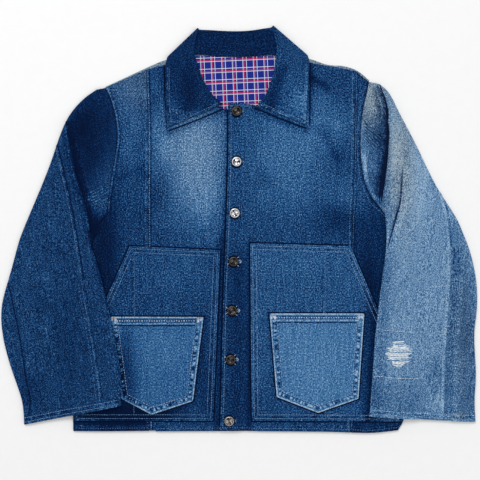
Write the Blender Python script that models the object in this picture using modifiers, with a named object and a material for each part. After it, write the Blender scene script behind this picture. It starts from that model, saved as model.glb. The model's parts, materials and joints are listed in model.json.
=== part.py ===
"""A patched denim work jacket, laid flat on its back with the sleeves folded down beside the body.

Metres, +Z up. The jacket lies on the plane z = 0, its neck towards +Y and its hem towards -Y.
Right and left are the wearer's: the right front and sleeve lie on the -X side.
Every panel is one wall of cloth. Panels that are sewn edge to edge, or that lie on one another,
keep a small gap, and each panel's height comes from the same functions as the cloth under it.
"""

import math

import bmesh
import bpy
from mathutils import Vector

# Cloth thicknesses.
BACK_WALL = 0.0016
FRONT_WALL = 0.0016
SLEEVE_WALL = 0.0016
LINING_WALL = 0.0010
COLLAR_WALL = 0.0022
PATCH_WALL = 0.0012

# Gap at a seam, and between a pocket and the cloth that it is sewn on.
SEAM_GAP = 0.0003
LAY_GAP = 0.0005

# The whole garment is moved by this much, so that the middle of its outline is the origin.
TO_CENTRE = (-0.00026, 0.00009, 0.0)

# Body: the front swells over the back by BODY_SWELL, easing in over these distances from its edges.
BODY_SWELL = 0.0030
SIDE_EASE = 0.060
SHOULDER_EASE = 0.045
HEM_EASE = 0.060
HEM_SWELL_SHARE = 0.40

# The left front laps over the right one, and steps down past the right front's hidden edge.
LAP_WIDTH = 0.024
LAP_STEP_START = 0.0255
LAP_STEP_END = 0.039
LAP_LIFT = FRONT_WALL + LAY_GAP

# Outline points of the body. The sides and front edges run up from the hem, the armholes down from the shoulder.
LEFT_EDGE = [(-0.032, -0.3425), (-0.030, -0.274), (-0.026, -0.104), (-0.021, 0.024), (-0.018, 0.134), (-0.018, 0.213)]
LEFT_NECK = [(0.021, 0.2105), (0.032, 0.2085), (0.050, 0.219), (0.068, 0.245), (0.079, 0.272), (0.084, 0.2895)]
LEFT_NECK_TOP = [(-0.018, 0.213), (0.0075, 0.2130), (0.021, 0.2105)]
LEFT_SEAM = [(0.189, -0.3445), (0.191, -0.027), (0.194, 0.066), (0.196, 0.168), (0.197, 0.2675)]
LEFT_SIDE = [(0.270, -0.3415), (0.280, -0.322), (0.275, -0.223), (0.267, -0.104), (0.254, 0.024)]
LEFT_ARMHOLE = [(0.2205, 0.2500), (0.2150, 0.226), (0.2090, 0.197), (0.2060, 0.170), (0.2055, 0.135),
                (0.2110, 0.085), (0.2270, 0.048), (0.254, 0.024)]
RIGHT_NECK = [(0.006, 0.2040), (-0.028, 0.2040), (-0.055, 0.216), (-0.075, 0.243), (-0.088, 0.272), (-0.093, 0.2885)]
RIGHT_SEAM = [(-0.151, -0.342), (-0.1535, -0.024), (-0.154, 0.049), (-0.154, 0.168), (-0.157, 0.2705)]
RIGHT_SIDE = [(-0.281, -0.3430), (-0.2815, -0.318), (-0.270, -0.223), (-0.257, -0.104), (-0.248, -0.019)]
RIGHT_ARMHOLE = [(-0.2265, 0.2400), (-0.2150, 0.214), (-0.2075, 0.180), (-0.2060, 0.150), (-0.2125, 0.108),
                 (-0.2200, 0.060), (-0.2255, 0.016), (-0.248, -0.019)]

# The back's shoulders stand a little above the fronts' seams, as the yoke wraps forward.
RIGHT_BACK_SHOULDER = [(-0.2268, 0.2415), (-0.160, 0.2725), (-0.141, 0.2810), (-0.128, 0.2862), (-0.110, 0.2905),
                       (-0.093, 0.2960)]
BACK_NECK = [(-0.093, 0.2960), (-0.074, 0.2995), (-0.040, 0.2965), (-0.007, 0.2950), (0.028, 0.2965),
             (0.064, 0.2995), (0.084, 0.2965)]
LEFT_BACK_SHOULDER = [(0.084, 0.2965), (0.100, 0.2935), (0.124, 0.2880), (0.151, 0.2790), (0.180, 0.2765),
                      (0.202, 0.2685), (0.2208, 0.2530)]
HEM = [(-0.281, -0.3430), (-0.218, -0.343), (-0.109, -0.342), (0.036, -0.343), (0.155, -0.344), (0.226, -0.3460),
       (0.270, -0.3415)]

# Lining where it shows in the neck, tucked a little under the fronts and the collar.
LINING_OUTLINE = [(-0.080, 0.2975), (-0.082, 0.284), (-0.070, 0.250), (-0.055, 0.225), (-0.036, 0.200),
                  (-0.020, 0.196), (0.032, 0.196), (0.044, 0.206), (0.056, 0.225), (0.067, 0.250), (0.073, 0.284),
                  (0.072, 0.2975), (0.028, 0.2955), (-0.007, 0.2940), (-0.040, 0.2955)]

# Soft folds of the fronts: (start, end, half width, height).
FRONT_FOLDS = [
    ((-0.220, 0.020), (-0.170, 0.085), 0.020, 0.0028),
    ((-0.245, -0.035), (-0.205, -0.012), 0.016, 0.0024),
    ((0.226, 0.006), (0.196, 0.060), 0.018, 0.0020),
    ((0.250, -0.006), (0.215, -0.022), 0.016, 0.0022),
    ((0.132, 0.240), (0.180, 0.215), 0.022, 0.0022),
]

# Sleeve stations from the shoulder to the cuff: its outer edge, and the edge of its fold and then its inner edge.
RIGHT_SLEEVE_OUTER = [(-0.2405, 0.2365), (-0.262, 0.222), (-0.287, 0.194), (-0.303, 0.160), (-0.319, 0.112),
                      (-0.339, 0.062), (-0.358, 0.017), (-0.372, -0.018), (-0.379, -0.044), (-0.389, -0.081),
                      (-0.403, -0.132), (-0.400, -0.185), (-0.384, -0.243), (-0.367, -0.292), (-0.364, -0.332)]
RIGHT_SLEEVE_FOLD = [(-0.2310, 0.2386), (-0.250, 0.214), (-0.276, 0.188), (-0.287, 0.155), (-0.2805, 0.112),
                     (-0.268, 0.064), (-0.2545, 0.018), (-0.2522, -0.0222), (-0.2455, -0.042), (-0.235, -0.076),
                     (-0.221, -0.135), (-0.2085, -0.190), (-0.2005, -0.240), (-0.200, -0.272), (-0.200, -0.299)]
LEFT_SLEEVE_OUTER = [(0.2375, 0.2460), (0.254, 0.232), (0.269, 0.202), (0.285, 0.172), (0.304, 0.135), (0.328, 0.084),
                     (0.350, 0.047), (0.369, 0.018), (0.380, -0.008), (0.391, -0.036), (0.402, -0.085),
                     (0.4035, -0.135), (0.398, -0.180), (0.402, -0.245), (0.399, -0.290), (0.401, -0.327)]
LEFT_SLEEVE_FOLD = [(0.2265, 0.2485), (0.243, 0.228), (0.2515, 0.198), (0.2555, 0.170), (0.2555, 0.135),
                    (0.250, 0.086), (0.2455, 0.046), (0.2490, 0.015), (0.2500, -0.004), (0.2500, -0.026),
                    (0.2435, -0.078), (0.2365, -0.130), (0.2305, -0.182), (0.2265, -0.245), (0.2230, -0.290),
                    (0.2205, -0.317)]
STEPS_PER_STATION = 2

# The fold's share of its full depth at each station down to the underarm.
RIGHT_FOLD_DEPTH = [0, 0, 0.15, 0.75, 1, 1, 1, 1]
LEFT_FOLD_DEPTH = [0, 0.25, 0.8, 1, 1, 1, 1, 1]
UNDERARM_STATION = 7

# Section of a sleeve: radius and heights of its folded edges, the swell between them, and its tucked lip.
EDGE_RADIUS = 0.0017
SLEEVE_BASE = SLEEVE_WALL / 2 + 0.00015
FOLD_CREST = 0.0106
# The folded edge above the armhole, from its foot: (distance outwards, share of the height).
FOLD_PROFILE = [(-0.0006, 0.0), (0.0002, 0.14), (0.0001, 0.45), (0.0000, 0.68), (0.00035, 0.86), (0.00095, 0.97),
                (0.0017, 1.0)]
SLEEVE_SWELL = 0.0016
RIDGE_WIDTH = 0.045
LIP = 0.0085

# A sleeve rides over the side of the body: the ramp's start and end either side of the edge.
RIDE_HEIGHT = 0.0107
RIDE_OUTSIDE = 0.030
RIDE_INSIDE = 0.026
# Shares of the ride at the foot of the fold, in the rows below the underarm.
FOOT_RIDE = [0.8, 1.0]
# Where the under sleeve ends in the rows at the underarm, and its share of the ride there.
RIGHT_UNDER_ENDS = [(-0.2487, -0.0182, 0.0), (-0.2526, -0.0325, 0.80)]
LEFT_UNDER_ENDS = [(0.2548, 0.0245, 0.0), (0.2572, 0.0055, 0.62), (0.2560, -0.0050, 0.85)]
# Height of the fold's foot in the last row that is sewn to the armhole.
LAST_FOOT = 0.0050

# Soft folds of the sleeves: (start, end, half width, height).
RIGHT_SLEEVE_FOLDS = [
    ((-0.372, -0.020), (-0.292, -0.030), 0.024, 0.0026),
    ((-0.396, -0.120), (-0.300, -0.085), 0.028, 0.0028),
    ((-0.290, -0.120), (-0.240, -0.260), 0.022, 0.0022),
    ((-0.362, -0.215), (-0.320, -0.300), 0.020, 0.0022),
]
LEFT_SLEEVE_FOLDS = [
    ((0.279, 0.115), (0.279, 0.045), 0.010, 0.0034),
    ((0.277, 0.045), (0.259, -0.010), 0.010, 0.0030),
    ((0.330, 0.040), (0.315, -0.080), 0.022, 0.0026),
    ((0.398, -0.120), (0.350, -0.150), 0.020, 0.0026),
    ((0.385, -0.200), (0.372, -0.290), 0.018, 0.0026),
]

# Collar leaf: its roll and outer edge on each front, up to the crease at the shoulder.
RIGHT_LEAF_ROLL = [(-0.0270, 0.2110), (-0.046, 0.2285), (-0.0595, 0.251), (-0.0695, 0.278), (-0.0762, 0.304),
                   (-0.0676, 0.3395)]
RIGHT_LEAF_EDGE = [(-0.1205, 0.1715), (-0.122, 0.205), (-0.1235, 0.236), (-0.1245, 0.262), (-0.1250, 0.2770),
                   (-0.1226, 0.2865)]
RIGHT_CREASE_FOOT = [(-0.0676, 0.3385), (-0.1130, 0.2955)]
RIGHT_CREASE_OUT = (-0.694, 0.720)
LEFT_LEAF_ROLL = [(0.0320, 0.2115), (0.0420, 0.223), (0.0510, 0.240), (0.0600, 0.272), (0.0640, 0.308),
                  (0.0558, 0.3434)]
LEFT_LEAF_EDGE = [(0.1140, 0.1745), (0.1155, 0.203), (0.1170, 0.233), (0.1185, 0.262), (0.1195, 0.2800),
                  (0.1178, 0.2905)]
LEFT_CREASE_FOOT = [(0.0558, 0.3424), (0.1050, 0.2985)]
LEFT_CREASE_OUT = (0.643, 0.766)
# Its part under the back of the neck, from right to left.
BACK_LEAF_ROLL = [(-0.052, 0.3385), (-0.030, 0.3368), (-0.007, 0.3360), (0.020, 0.3368), (0.042, 0.3410)]
BACK_LEAF_EDGE = [(-0.090, 0.3005), (-0.048, 0.2995), (-0.007, 0.2975), (0.038, 0.2995), (0.082, 0.3010)]

# Collar band at the back of the neck, from right to left: its top under the roll, and its seam.
BAND_TOP = [(-0.0710, 0.3320), (-0.055, 0.3362), (-0.034, 0.3360), (-0.007, 0.3352), (0.022, 0.3360),
            (0.041, 0.3392), (0.0590, 0.3350)]
BAND_SEAM = [(-0.0862, 0.2945), (-0.066, 0.2960), (-0.037, 0.2930), (-0.007, 0.2918), (0.024, 0.2930),
             (0.052, 0.2955), (0.0780, 0.2945)]

LEAF_COLUMNS = 5
LEAF_GAP = 0.0006
LEAF_LOWEST = 0.0066
BAND_WALL = 0.0016
BAND_ON_LEAF = 0.0034
BAND_ON_LINING = 0.0042

# Pockets: the large ones are cut with a slanted mouth, and the small ones are five-sided.
RIGHT_POCKET_INNER = [(-0.044, -0.325), (-0.0390, -0.209), (-0.032, -0.036)]
RIGHT_POCKET_OUTER = [(-0.2800, -0.325), (-0.2665, -0.209), (-0.185, -0.029)]
LEFT_POCKET_INNER = [(0.022, -0.325), (0.0208, -0.226), (0.019, -0.024)]
LEFT_POCKET_OUTER = [(0.2785, -0.326), (0.2735, -0.226), (0.189, -0.029)]
RIGHT_JEANS_TOP = [(-0.218, -0.1485), (-0.139, -0.1490), (-0.060, -0.149)]
RIGHT_JEANS_FOOT = [(-0.199, -0.287), (-0.148, -0.314), (-0.078, -0.291)]
LEFT_JEANS_TOP = [(0.052, -0.143), (0.132, -0.1430), (0.212, -0.143)]
LEFT_JEANS_FOOT = [(0.064, -0.284), (0.134, -0.311), (0.202, -0.287)]

# Shank buttons down the left front, and the turned profile of one.
BUTTONS = [(-0.004, 0.1995), (-0.004, 0.114), (-0.007, 0.027), (-0.009, -0.055), (-0.0115, -0.138), (-0.014, -0.221),
           (-0.0165, -0.325)]
BUTTON_RADIUS = 0.0085
BUTTON_HEIGHT = 0.0042
BUTTON_STEPS = 16

# Denim shades, as linear colours.
NAVY = (0.016, 0.050, 0.150)
INDIGO = (0.024, 0.085, 0.235)
FADED = (0.085, 0.210, 0.400)
SLATE = (0.160, 0.260, 0.370)
POCKET_BLUE = (0.060, 0.170, 0.340)
CHECK_BLUE = (0.030, 0.050, 0.360)
STEEL = (0.420, 0.400, 0.370)


def clear_scene():
    """Removes every object that the scene starts with."""
    for existing in list(bpy.data.objects):
        bpy.data.objects.remove(existing)


def smooth(share):
    """Eases from 0 to 1 with a level start and end."""
    share = min(1.0, max(0.0, share))
    return share * share * (3 - 2 * share)


def swell(distance, reach):
    """Rises from 0 at an edge to 1 at the reach, round like a filled sheet."""
    share = min(1.0, max(0.0, distance / reach))
    return 1 - (1 - share) ** 2


def curve_through(points, steps):
    """A centripetal Catmull-Rom curve through the points, with that many steps between two of them."""
    knots = [Vector(p) for p in points]
    knots = [2 * knots[0] - knots[1]] + knots + [2 * knots[-1] - knots[-2]]
    curve = []
    for a, b, c, d in zip(knots, knots[1:], knots[2:], knots[3:]):
        t0 = 0.0
        t1 = t0 + max(1e-6, (b - a).length) ** 0.5
        t2 = t1 + max(1e-6, (c - b).length) ** 0.5
        t3 = t2 + max(1e-6, (d - c).length) ** 0.5
        for step in range(steps):
            t = t1 + (t2 - t1) * step / steps
            ab = a.lerp(b, (t - t0) / (t1 - t0))
            bc = b.lerp(c, (t - t1) / (t2 - t1))
            cd = c.lerp(d, (t - t2) / (t3 - t2))
            abc = ab.lerp(bc, (t - t0) / (t2 - t0))
            bcd = bc.lerp(cd, (t - t1) / (t3 - t1))
            curve.append(abc.lerp(bcd, (t - t1) / (t2 - t1)))
    return curve + [knots[-2].copy()]


def even(points, count, straight=False):
    """The curve or polyline through the points, as count equal steps along its length."""
    dense = [Vector(p) for p in points] if straight else curve_through(points, 12)
    lengths = [0.0]
    for a, b in zip(dense, dense[1:]):
        lengths.append(lengths[-1] + (b - a).length)
    result = []
    segment = 0
    for step in range(count + 1):
        target = lengths[-1] * step / count
        while segment < len(dense) - 2 and lengths[segment + 1] < target:
            segment += 1
        span = lengths[segment + 1] - lengths[segment]
        result.append(dense[segment].lerp(dense[segment + 1], (target - lengths[segment]) / span))
    return result


def x_at(rail, y):
    """The x of a rising outline at a height y, held at its ends."""
    for a, b in zip(rail, rail[1:]):
        if y <= b.y:
            share = 0.0 if b.y == a.y else (y - a.y) / (b.y - a.y)
            return a.x + (b.x - a.x) * max(0.0, share)
    return rail[-1].x


def y_at(rail, x):
    """The y of an outline that runs towards +X, at x, held at its ends."""
    for a, b in zip(rail, rail[1:]):
        if x <= b.x:
            share = 0.0 if b.x == a.x else (x - a.x) / (b.x - a.x)
            return a.y + (b.y - a.y) * max(0.0, share)
    return rail[-1].y


RIGHT_SIDE_LINE = curve_through(RIGHT_SIDE, 6)
LEFT_SIDE_LINE = curve_through(LEFT_SIDE, 6)
LEFT_EDGE_LINE = curve_through(LEFT_EDGE, 6)
HEM_LINE = curve_through(HEM, 4)
SHOULDER_LINE = curve_through(RIGHT_BACK_SHOULDER + BACK_NECK[1:] + LEFT_BACK_SHOULDER[1:], 3)


def folds_height(folds, x, y):
    """The height that the soft folds add at a point: each is a long ridge that fades at its ends."""
    total = 0.0
    here = Vector((x, y))
    for start, end, half_width, height in folds:
        along = Vector(end) - Vector(start)
        offset = here - Vector(start)
        share = offset.dot(along) / along.length_squared
        nearest = Vector(start) + along * min(1.0, max(0.0, share))
        across = (here - nearest).length / half_width
        total += height * math.exp(-across * across)
    return total


def front_middle(x, y):
    """Height of the middle of the fronts' wall where they lie on the back."""
    side = min(x - x_at(RIGHT_SIDE_LINE, y), x_at(LEFT_SIDE_LINE, y) - x)
    hem = y - y_at(HEM_LINE, x)
    shoulder = y_at(SHOULDER_LINE, x) - y
    hem_share = HEM_SWELL_SHARE + (1 - HEM_SWELL_SHARE) * swell(hem, HEM_EASE)
    lift = BODY_SWELL * swell(side, SIDE_EASE) * hem_share * swell(shoulder, SHOULDER_EASE)
    inside = smooth(side / 0.03) * smooth(shoulder / 0.03)
    return BACK_WALL + SEAM_GAP + FRONT_WALL / 2 + lift + inside * folds_height(FRONT_FOLDS, x, y)


def left_front_middle(x, y):
    """Height of the middle of the left front's wall, which laps over the right front."""
    inward = x - x_at(LEFT_EDGE_LINE, y)
    step = 1 - (inward - LAP_STEP_START) / (LAP_STEP_END - LAP_STEP_START)
    return front_middle(x, y) + LAP_LIFT * min(1.0, max(0.0, step))


def ride(x, y, side):
    """How far a sleeve is lifted off the floor by the side of the body under it."""
    inside = x - x_at(RIGHT_SIDE_LINE, y) if side < 0 else x_at(LEFT_SIDE_LINE, y) - x
    return RIDE_HEIGHT * smooth((inside + RIDE_OUTSIDE) / (RIDE_OUTSIDE + RIDE_INSIDE))


def cloth_material(name, colour, roughness=0.9, metallic=0.0):
    """A plain finish in the piece's own colour."""
    material = bpy.data.materials.new(name)
    material.use_nodes = True
    shader = material.node_tree.nodes["Principled BSDF"]
    shader.inputs["Base Color"].default_value = (*colour, 1.0)
    shader.inputs["Roughness"].default_value = roughness
    shader.inputs["Metallic"].default_value = metallic
    return material


class Garment:
    """The collection of the jacket's pieces, all held by one empty at the middle of its outline."""

    def __init__(self):
        self.collection = bpy.data.collections.new("patched_jacket")
        bpy.context.scene.collection.children.link(self.collection)
        self.origin = bpy.data.objects.new("jacket_origin", None)
        self.origin.location = TO_CENTRE
        self.collection.objects.link(self.origin)

    def add(self, name, data, material):
        """Links a piece under the garment's origin."""
        piece = bpy.data.objects.new(name, data)
        data.materials.append(material)
        self.collection.objects.link(piece)
        piece.parent = self.origin
        return piece

    def cloth(self, name, rows, wall, material, fan=False, full_bends=True):
        """A wall of cloth whose middle runs through rows of points.

        A row may be shorter than the one before it: it then starts further along, and with a fan the points
        left over are drawn together to its first point. Full bends keep the wall's thickness in its folds.
        """
        sheet = bmesh.new()
        grid = [[sheet.verts.new(point) for point in row] for row in rows]
        for lower, upper in zip(grid, grid[1:]):
            spare = len(lower) - len(upper)
            for a, b, c, d in zip(lower[spare:], lower[spare + 1:], upper[1:], upper):
                sheet.faces.new((a, b, c, d))
            for a, b in zip(lower[:spare], lower[1:spare + 1]):
                if fan:
                    sheet.faces.new((a, b, upper[0]))
        mesh = bpy.data.meshes.new(name)
        sheet.to_mesh(mesh)
        sheet.free()
        mesh.shade_smooth()
        piece = self.add(name, mesh, material)
        thickness = piece.modifiers.new("wall", "SOLIDIFY")
        thickness.thickness = wall
        thickness.offset = 0.0
        thickness.use_even_offset = full_bends
        return piece

    def flat_cloth(self, name, outline, wall, height, material):
        """A flat cut of cloth lying at a height."""
        sheet = bmesh.new()
        sheet.faces.new([sheet.verts.new((p[0], p[1], height + wall / 2)) for p in outline])
        mesh = bpy.data.meshes.new(name)
        sheet.to_mesh(mesh)
        sheet.free()
        piece = self.add(name, mesh, material)
        thickness = piece.modifiers.new("wall", "SOLIDIFY")
        thickness.thickness = wall
        thickness.offset = 0.0
        return piece


def across(rails, columns):
    """Rows of points between rails that run up a panel, with a number of columns in each interval."""
    rows = []
    for places in zip(*rails):
        row = [places[0]]
        for a, b, count in zip(places, places[1:], columns):
            row += [a.lerp(b, step / count) for step in range(1, count + 1)]
        rows.append(row)
    return rows


def raised(rows, height):
    """Gives rows of flat points their height."""
    return [[(p.x, p.y, height(p.x, p.y)) for p in row] for row in rows]


def shifted(points, dx):
    """The outline moved along X."""
    return [Vector((p[0] + dx, p[1])) for p in points]


def beside(points, distance):
    """The polyline moved sideways, to its left when the distance is positive."""
    moved = []
    for number, point in enumerate(points):
        along = points[min(number + 1, len(points) - 1)] - points[max(number - 1, 0)]
        moved.append(point + Vector((-along.y, along.x)).normalized() * distance)
    return moved


EDGE_ROWS = 14
NECK_ROWS = 8
SIDE_ROWS = 8
RIGHT_ARMHOLE_LINE = curve_through(RIGHT_ARMHOLE, STEPS_PER_STATION)
LEFT_ARMHOLE_LINE = curve_through(LEFT_ARMHOLE, STEPS_PER_STATION)


def side_rail(side, armhole_line):
    """The side seam and the armhole of a front as one rail."""
    return even(side, SIDE_ROWS) + list(reversed(armhole_line))[1:]


def seam_rail(seam, inner, outer):
    """A front's own seam, with its points level with the rails on its two sides."""
    line = curve_through(seam, 6)
    rail = []
    for a, b in zip(inner, outer):
        y = (a.y + b.y) / 2
        rail.append(Vector((x_at(line, y), y)))
    rail[0] = Vector(seam[0])
    rail[-1] = Vector(seam[-1])
    return rail


def make_fronts(garment, right_denim, faded_denim, left_denim):
    """The two fronts, each pieced from a centre and a side strip."""
    half_gap = SEAM_GAP / 2
    hidden_edge = [(x + LAP_WIDTH, y) for x, y in LEFT_EDGE[:-1]] + [RIGHT_NECK[0]]
    inner = even(hidden_edge, EDGE_ROWS) + even(RIGHT_NECK, NECK_ROWS)[1:]
    outer = side_rail(RIGHT_SIDE, RIGHT_ARMHOLE_LINE)
    seam = seam_rail(RIGHT_SEAM, inner, outer)
    rows = across([inner, shifted(seam, half_gap)], [9])
    garment.cloth("front_right_centre", raised(rows, front_middle), FRONT_WALL, faded_denim)
    rows = across([shifted(seam, -half_gap), outer], [7])
    garment.cloth("front_right_side", raised(rows, front_middle), FRONT_WALL, right_denim)

    edge = even(LEFT_EDGE, EDGE_ROWS)
    lap = even(LEFT_EDGE[:-1] + [(LEFT_NECK_TOP[1][0] - LAP_STEP_START, LEFT_NECK_TOP[1][1])], EDGE_ROWS)
    step = even(LEFT_EDGE[:-1] + [(LEFT_NECK_TOP[2][0] - LAP_STEP_END, LEFT_NECK_TOP[2][1])], EDGE_ROWS)
    lap = shifted(lap, LAP_STEP_START)
    step = shifted(step, LAP_STEP_END)
    neck = step + even(LEFT_NECK, NECK_ROWS)[1:]
    outer = side_rail(LEFT_SIDE, LEFT_ARMHOLE_LINE)
    seam = seam_rail(LEFT_SEAM, neck, outer)
    rows = across([edge, lap, step, shifted(seam, -half_gap)], [2, 1, 8])
    rows += across([neck, shifted(seam, -half_gap)], [8])[EDGE_ROWS + 1:]
    garment.cloth("front_left_centre", raised(rows, left_front_middle), FRONT_WALL, left_denim)
    rows = across([shifted(seam, half_gap), outer], [5])
    garment.cloth("front_left_side", raised(rows, left_front_middle), FRONT_WALL, left_denim)


def make_back(garment, denim):
    """The back, flat on the floor, one outline round the hem, sides, armholes, shoulders and neck."""
    left_side = even(LEFT_SIDE, SIDE_ROWS)
    right_side = even(RIGHT_SIDE, SIDE_ROWS)
    outline = curve_through(HEM, 3)[:-1] + left_side[:-1] + list(reversed(LEFT_ARMHOLE_LINE))
    outline += list(reversed(curve_through(LEFT_BACK_SHOULDER, 2)))[:-1]
    outline += list(reversed(curve_through(BACK_NECK, 3)))[:-1]
    outline += list(reversed(curve_through(RIGHT_BACK_SHOULDER, 2)))
    outline += RIGHT_ARMHOLE_LINE[:-1] + list(reversed(right_side))[:-1]
    garment.flat_cloth("back", outline, BACK_WALL, 0.0, denim)


def make_lining(garment, check):
    """The checked lining that shows in the neck."""
    outline = curve_through(LINING_OUTLINE + LINING_OUTLINE[:1], 2)[:-1]
    garment.flat_cloth("lining", outline, LINING_WALL, BACK_WALL + SEAM_GAP, check)


def arc(centre, outward, height, radius, first, last, count):
    """Points of a folded edge seen in section, from one angle to another in degrees."""
    points = []
    for step in range(count + 1):
        angle = math.radians(first + (last - first) * step / count)
        place = centre + outward * (radius * math.cos(angle))
        points.append(Vector((place.x, place.y, height + radius * math.sin(angle))))
    return points


RUN_POINTS = 4
TURN_POINTS = 4
LEAF_POINTS = 7


def folded_edge(fold, outward, foot_height, crest):
    """The folded edge that stands on the sleeve at the armhole."""
    points = []
    for distance, share in FOLD_PROFILE:
        place = fold + outward * distance
        points.append(Vector((place.x, place.y, foot_height + (crest - foot_height) * share)))
    return points


def inner_edge(fold, outward, foot_height, crest):
    """The rolled inner edge of the sleeve below the armhole."""
    half = (crest - foot_height) / 2
    points = []
    for step in range(len(FOLD_PROFILE)):
        angle = math.radians(-90 - 180 * step / (len(FOLD_PROFILE) - 1))
        place = fold + outward * (EDGE_RADIUS * (1 + math.cos(angle)))
        points.append(Vector((place.x, place.y, foot_height + half * (1 + math.sin(angle)))))
    return points


def leaf_points(outer, fold, height):
    """The upper wall of a sleeve between its two folded edges."""
    inner_place = fold.lerp(outer, EDGE_RADIUS / (outer - fold).length)
    outer_place = outer.lerp(fold, EDGE_RADIUS / (outer - fold).length)
    points = []
    for step in range(1, LEAF_POINTS):
        share = step / LEAF_POINTS
        place = inner_place.lerp(outer_place, share)
        points.append(Vector((place.x, place.y, height(place, share))))
    return points


def outer_edge_points(outer, outward, lip):
    """The sleeve's outer folded edge, and its tucked lip on the floor."""
    base = SLEEVE_BASE
    turn = arc(outer - outward * EDGE_RADIUS, outward, base + EDGE_RADIUS, EDGE_RADIUS, 90, -90, TURN_POINTS)
    end = outer - outward * lip
    return turn + [Vector((end.x, end.y, base))]


def lip_reach(outer, seam):
    """How far the outer edge is tucked under, less where the sleeve is narrow."""
    return min(LIP, max(0.0030, 0.30 * (outer - seam).length))


def folded_section(outer, fold, seam, depth, folds, last):
    """A ring of the upper sleeve: from the armhole seam, up the fold, over the top to the outer edge."""
    outward = (outer - fold).normalized()
    size = min(1.0, (outer - seam).length / 0.05)
    seam_height = front_middle(seam.x, seam.y)

    def top(place, share):
        flat = SLEEVE_BASE + 2 * EDGE_RADIUS + SLEEVE_SWELL * size * 4 * share * (1 - share)
        unfolded = seam_height + (flat - seam_height) * smooth(share * 3)
        crest = max(0.0, FOLD_CREST - flat) * (1 - smooth((place - fold).length / RIDGE_WIDTH))
        rounded = size * smooth(4 * share * (1 - share)) * folds_height(folds, place.x, place.y)
        return unfolded + (flat + crest - unfolded) * depth + rounded

    foot_height = LAST_FOOT if last else seam_height + (FOLD_CREST - seam_height) * 0.06
    start = Vector((seam.x, seam.y, seam_height))
    edge = folded_edge(fold, outward, foot_height, FOLD_CREST)
    deep = [start.lerp(edge[0], step / RUN_POINTS) for step in range(RUN_POINTS)] + edge
    end = fold + outward * EDGE_RADIUS
    end_height = top(end, 0.0)
    flat_line = []
    for step in range(len(deep)):
        share = step / (len(deep) - 1)
        place = seam.lerp(end, share)
        flat_line.append(Vector((place.x, place.y, seam_height + (end_height - seam_height) * smooth(share))))
    fold_points = [a.lerp(b, depth) for a, b in zip(flat_line, deep)]
    if last:
        fold_points = fold_points[RUN_POINTS:]
    return fold_points + leaf_points(outer, fold, top) + outer_edge_points(outer, outward, lip_reach(outer, seam))


def tube_section(outer, fold, side, folds, foot_share):
    """A ring of the lower sleeve: round the inner edge, over the top, to the outer edge."""
    outward = (outer - fold).normalized()
    base = SLEEVE_BASE

    def top(place, share):
        return base + ride(place.x, place.y, side) + 2 * EDGE_RADIUS + SLEEVE_SWELL * 4 * share * (1 - share) \
            + smooth(4 * share * (1 - share)) * folds_height(folds, place.x, place.y)

    foot = fold + outward * EDGE_RADIUS
    lift = ride(foot.x, foot.y, side)
    edge = inner_edge(fold, outward, base + foot_share * lift, base + lift + 2 * EDGE_RADIUS)
    return edge + leaf_points(outer, fold, top) + outer_edge_points(outer, outward, LIP)


def make_sleeve(garment, name, side, outer_points, fold_points, armhole_line, depths, folds, under_ends, denim):
    """A sleeve as two pieces: the top sleeve with its fold, and the under sleeve on the floor and the body."""
    outer_rail = curve_through(outer_points, STEPS_PER_STATION)
    fold_rail = curve_through(fold_points, STEPS_PER_STATION)
    depth_rail = curve_through([(d, 0.0) for d in depths], STEPS_PER_STATION)
    seam_line = beside(armhole_line, SEAM_GAP * 2 * side)
    underarm = UNDERARM_STATION * STEPS_PER_STATION
    last = underarm if side < 0 else underarm - 1
    top_rows = []
    under_rows = []
    for row, (outer, fold) in enumerate(zip(outer_rail, fold_rail)):
        outward = (outer - fold).normalized()
        foot_share = FOOT_RIDE[min(max(0, row - last - 1), len(FOOT_RIDE) - 1)]
        lip = LIP
        if row <= last:
            seam = seam_line[row]
            depth = min(1.0, max(0.0, depth_rail[row].x))
            top_rows.append(folded_section(outer, fold, seam, depth, folds, row == last))
            lip = lip_reach(outer, seam)
        else:
            top_rows.append(tube_section(outer, fold, side, folds, foot_share))
        start = outer - outward * (lip + SEAM_GAP)
        if row < underarm:
            end, lift = seam_line[row], 0.0
        elif row - underarm < len(under_ends):
            x, y, lift = under_ends[row - underarm]
            end = Vector((x, y))
        else:
            end, lift = fold + outward * (EDGE_RADIUS + 3 * SEAM_GAP), foot_share
        places = [start.lerp(end, step / 8) for step in range(9)]
        under_rows.append([(p.x, p.y, SLEEVE_BASE + lift * ride(p.x, p.y, side)) for p in places])
    garment.cloth(f"sleeve_{name}_top", top_rows, SLEEVE_WALL, denim, fan=True)
    garment.cloth(f"sleeve_{name}_under", under_rows, SLEEVE_WALL, denim)


def leaf_height(place):
    """Height of the middle of the collar leaf where it lies on the fronts."""
    return max(LEAF_LOWEST, front_middle(place.x, place.y) + FRONT_WALL / 2 + LEAF_GAP + COLLAR_WALL / 2)


def leaf_front_rows(roll, edge):
    """Rows of the leaf on one front, from its end up to the crease at the shoulder."""
    rows = []
    for start, end in zip(curve_through(roll, 2), curve_through(edge, 2)):
        places = [start.lerp(end, step / LEAF_COLUMNS) for step in range(LEAF_COLUMNS + 1)]
        rows.append([Vector((p.x, p.y, leaf_height(p))) for p in places])
    return rows


def leaf_crease_rows(top_row, foot, out):
    """Rows of the leaf round its crease at the shoulder, from the front down to the floor."""
    start, end = (Vector(p) for p in foot)
    out = Vector(out)
    rows = []
    for angle in (45, 0, -45, -90):
        row = []
        for step, upper in enumerate(top_row):
            lower = start.lerp(end, step / LEAF_COLUMNS)
            radius = (upper.z - COLLAR_WALL / 2) / 2
            turn = math.radians(angle)
            place = upper.xy.lerp(lower, (1 - math.sin(turn)) / 2) + out * (radius * math.cos(turn))
            row.append(Vector((place.x, place.y, COLLAR_WALL / 2 + radius * (1 + math.sin(turn)))))
        rows.append(row)
    return rows


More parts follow.
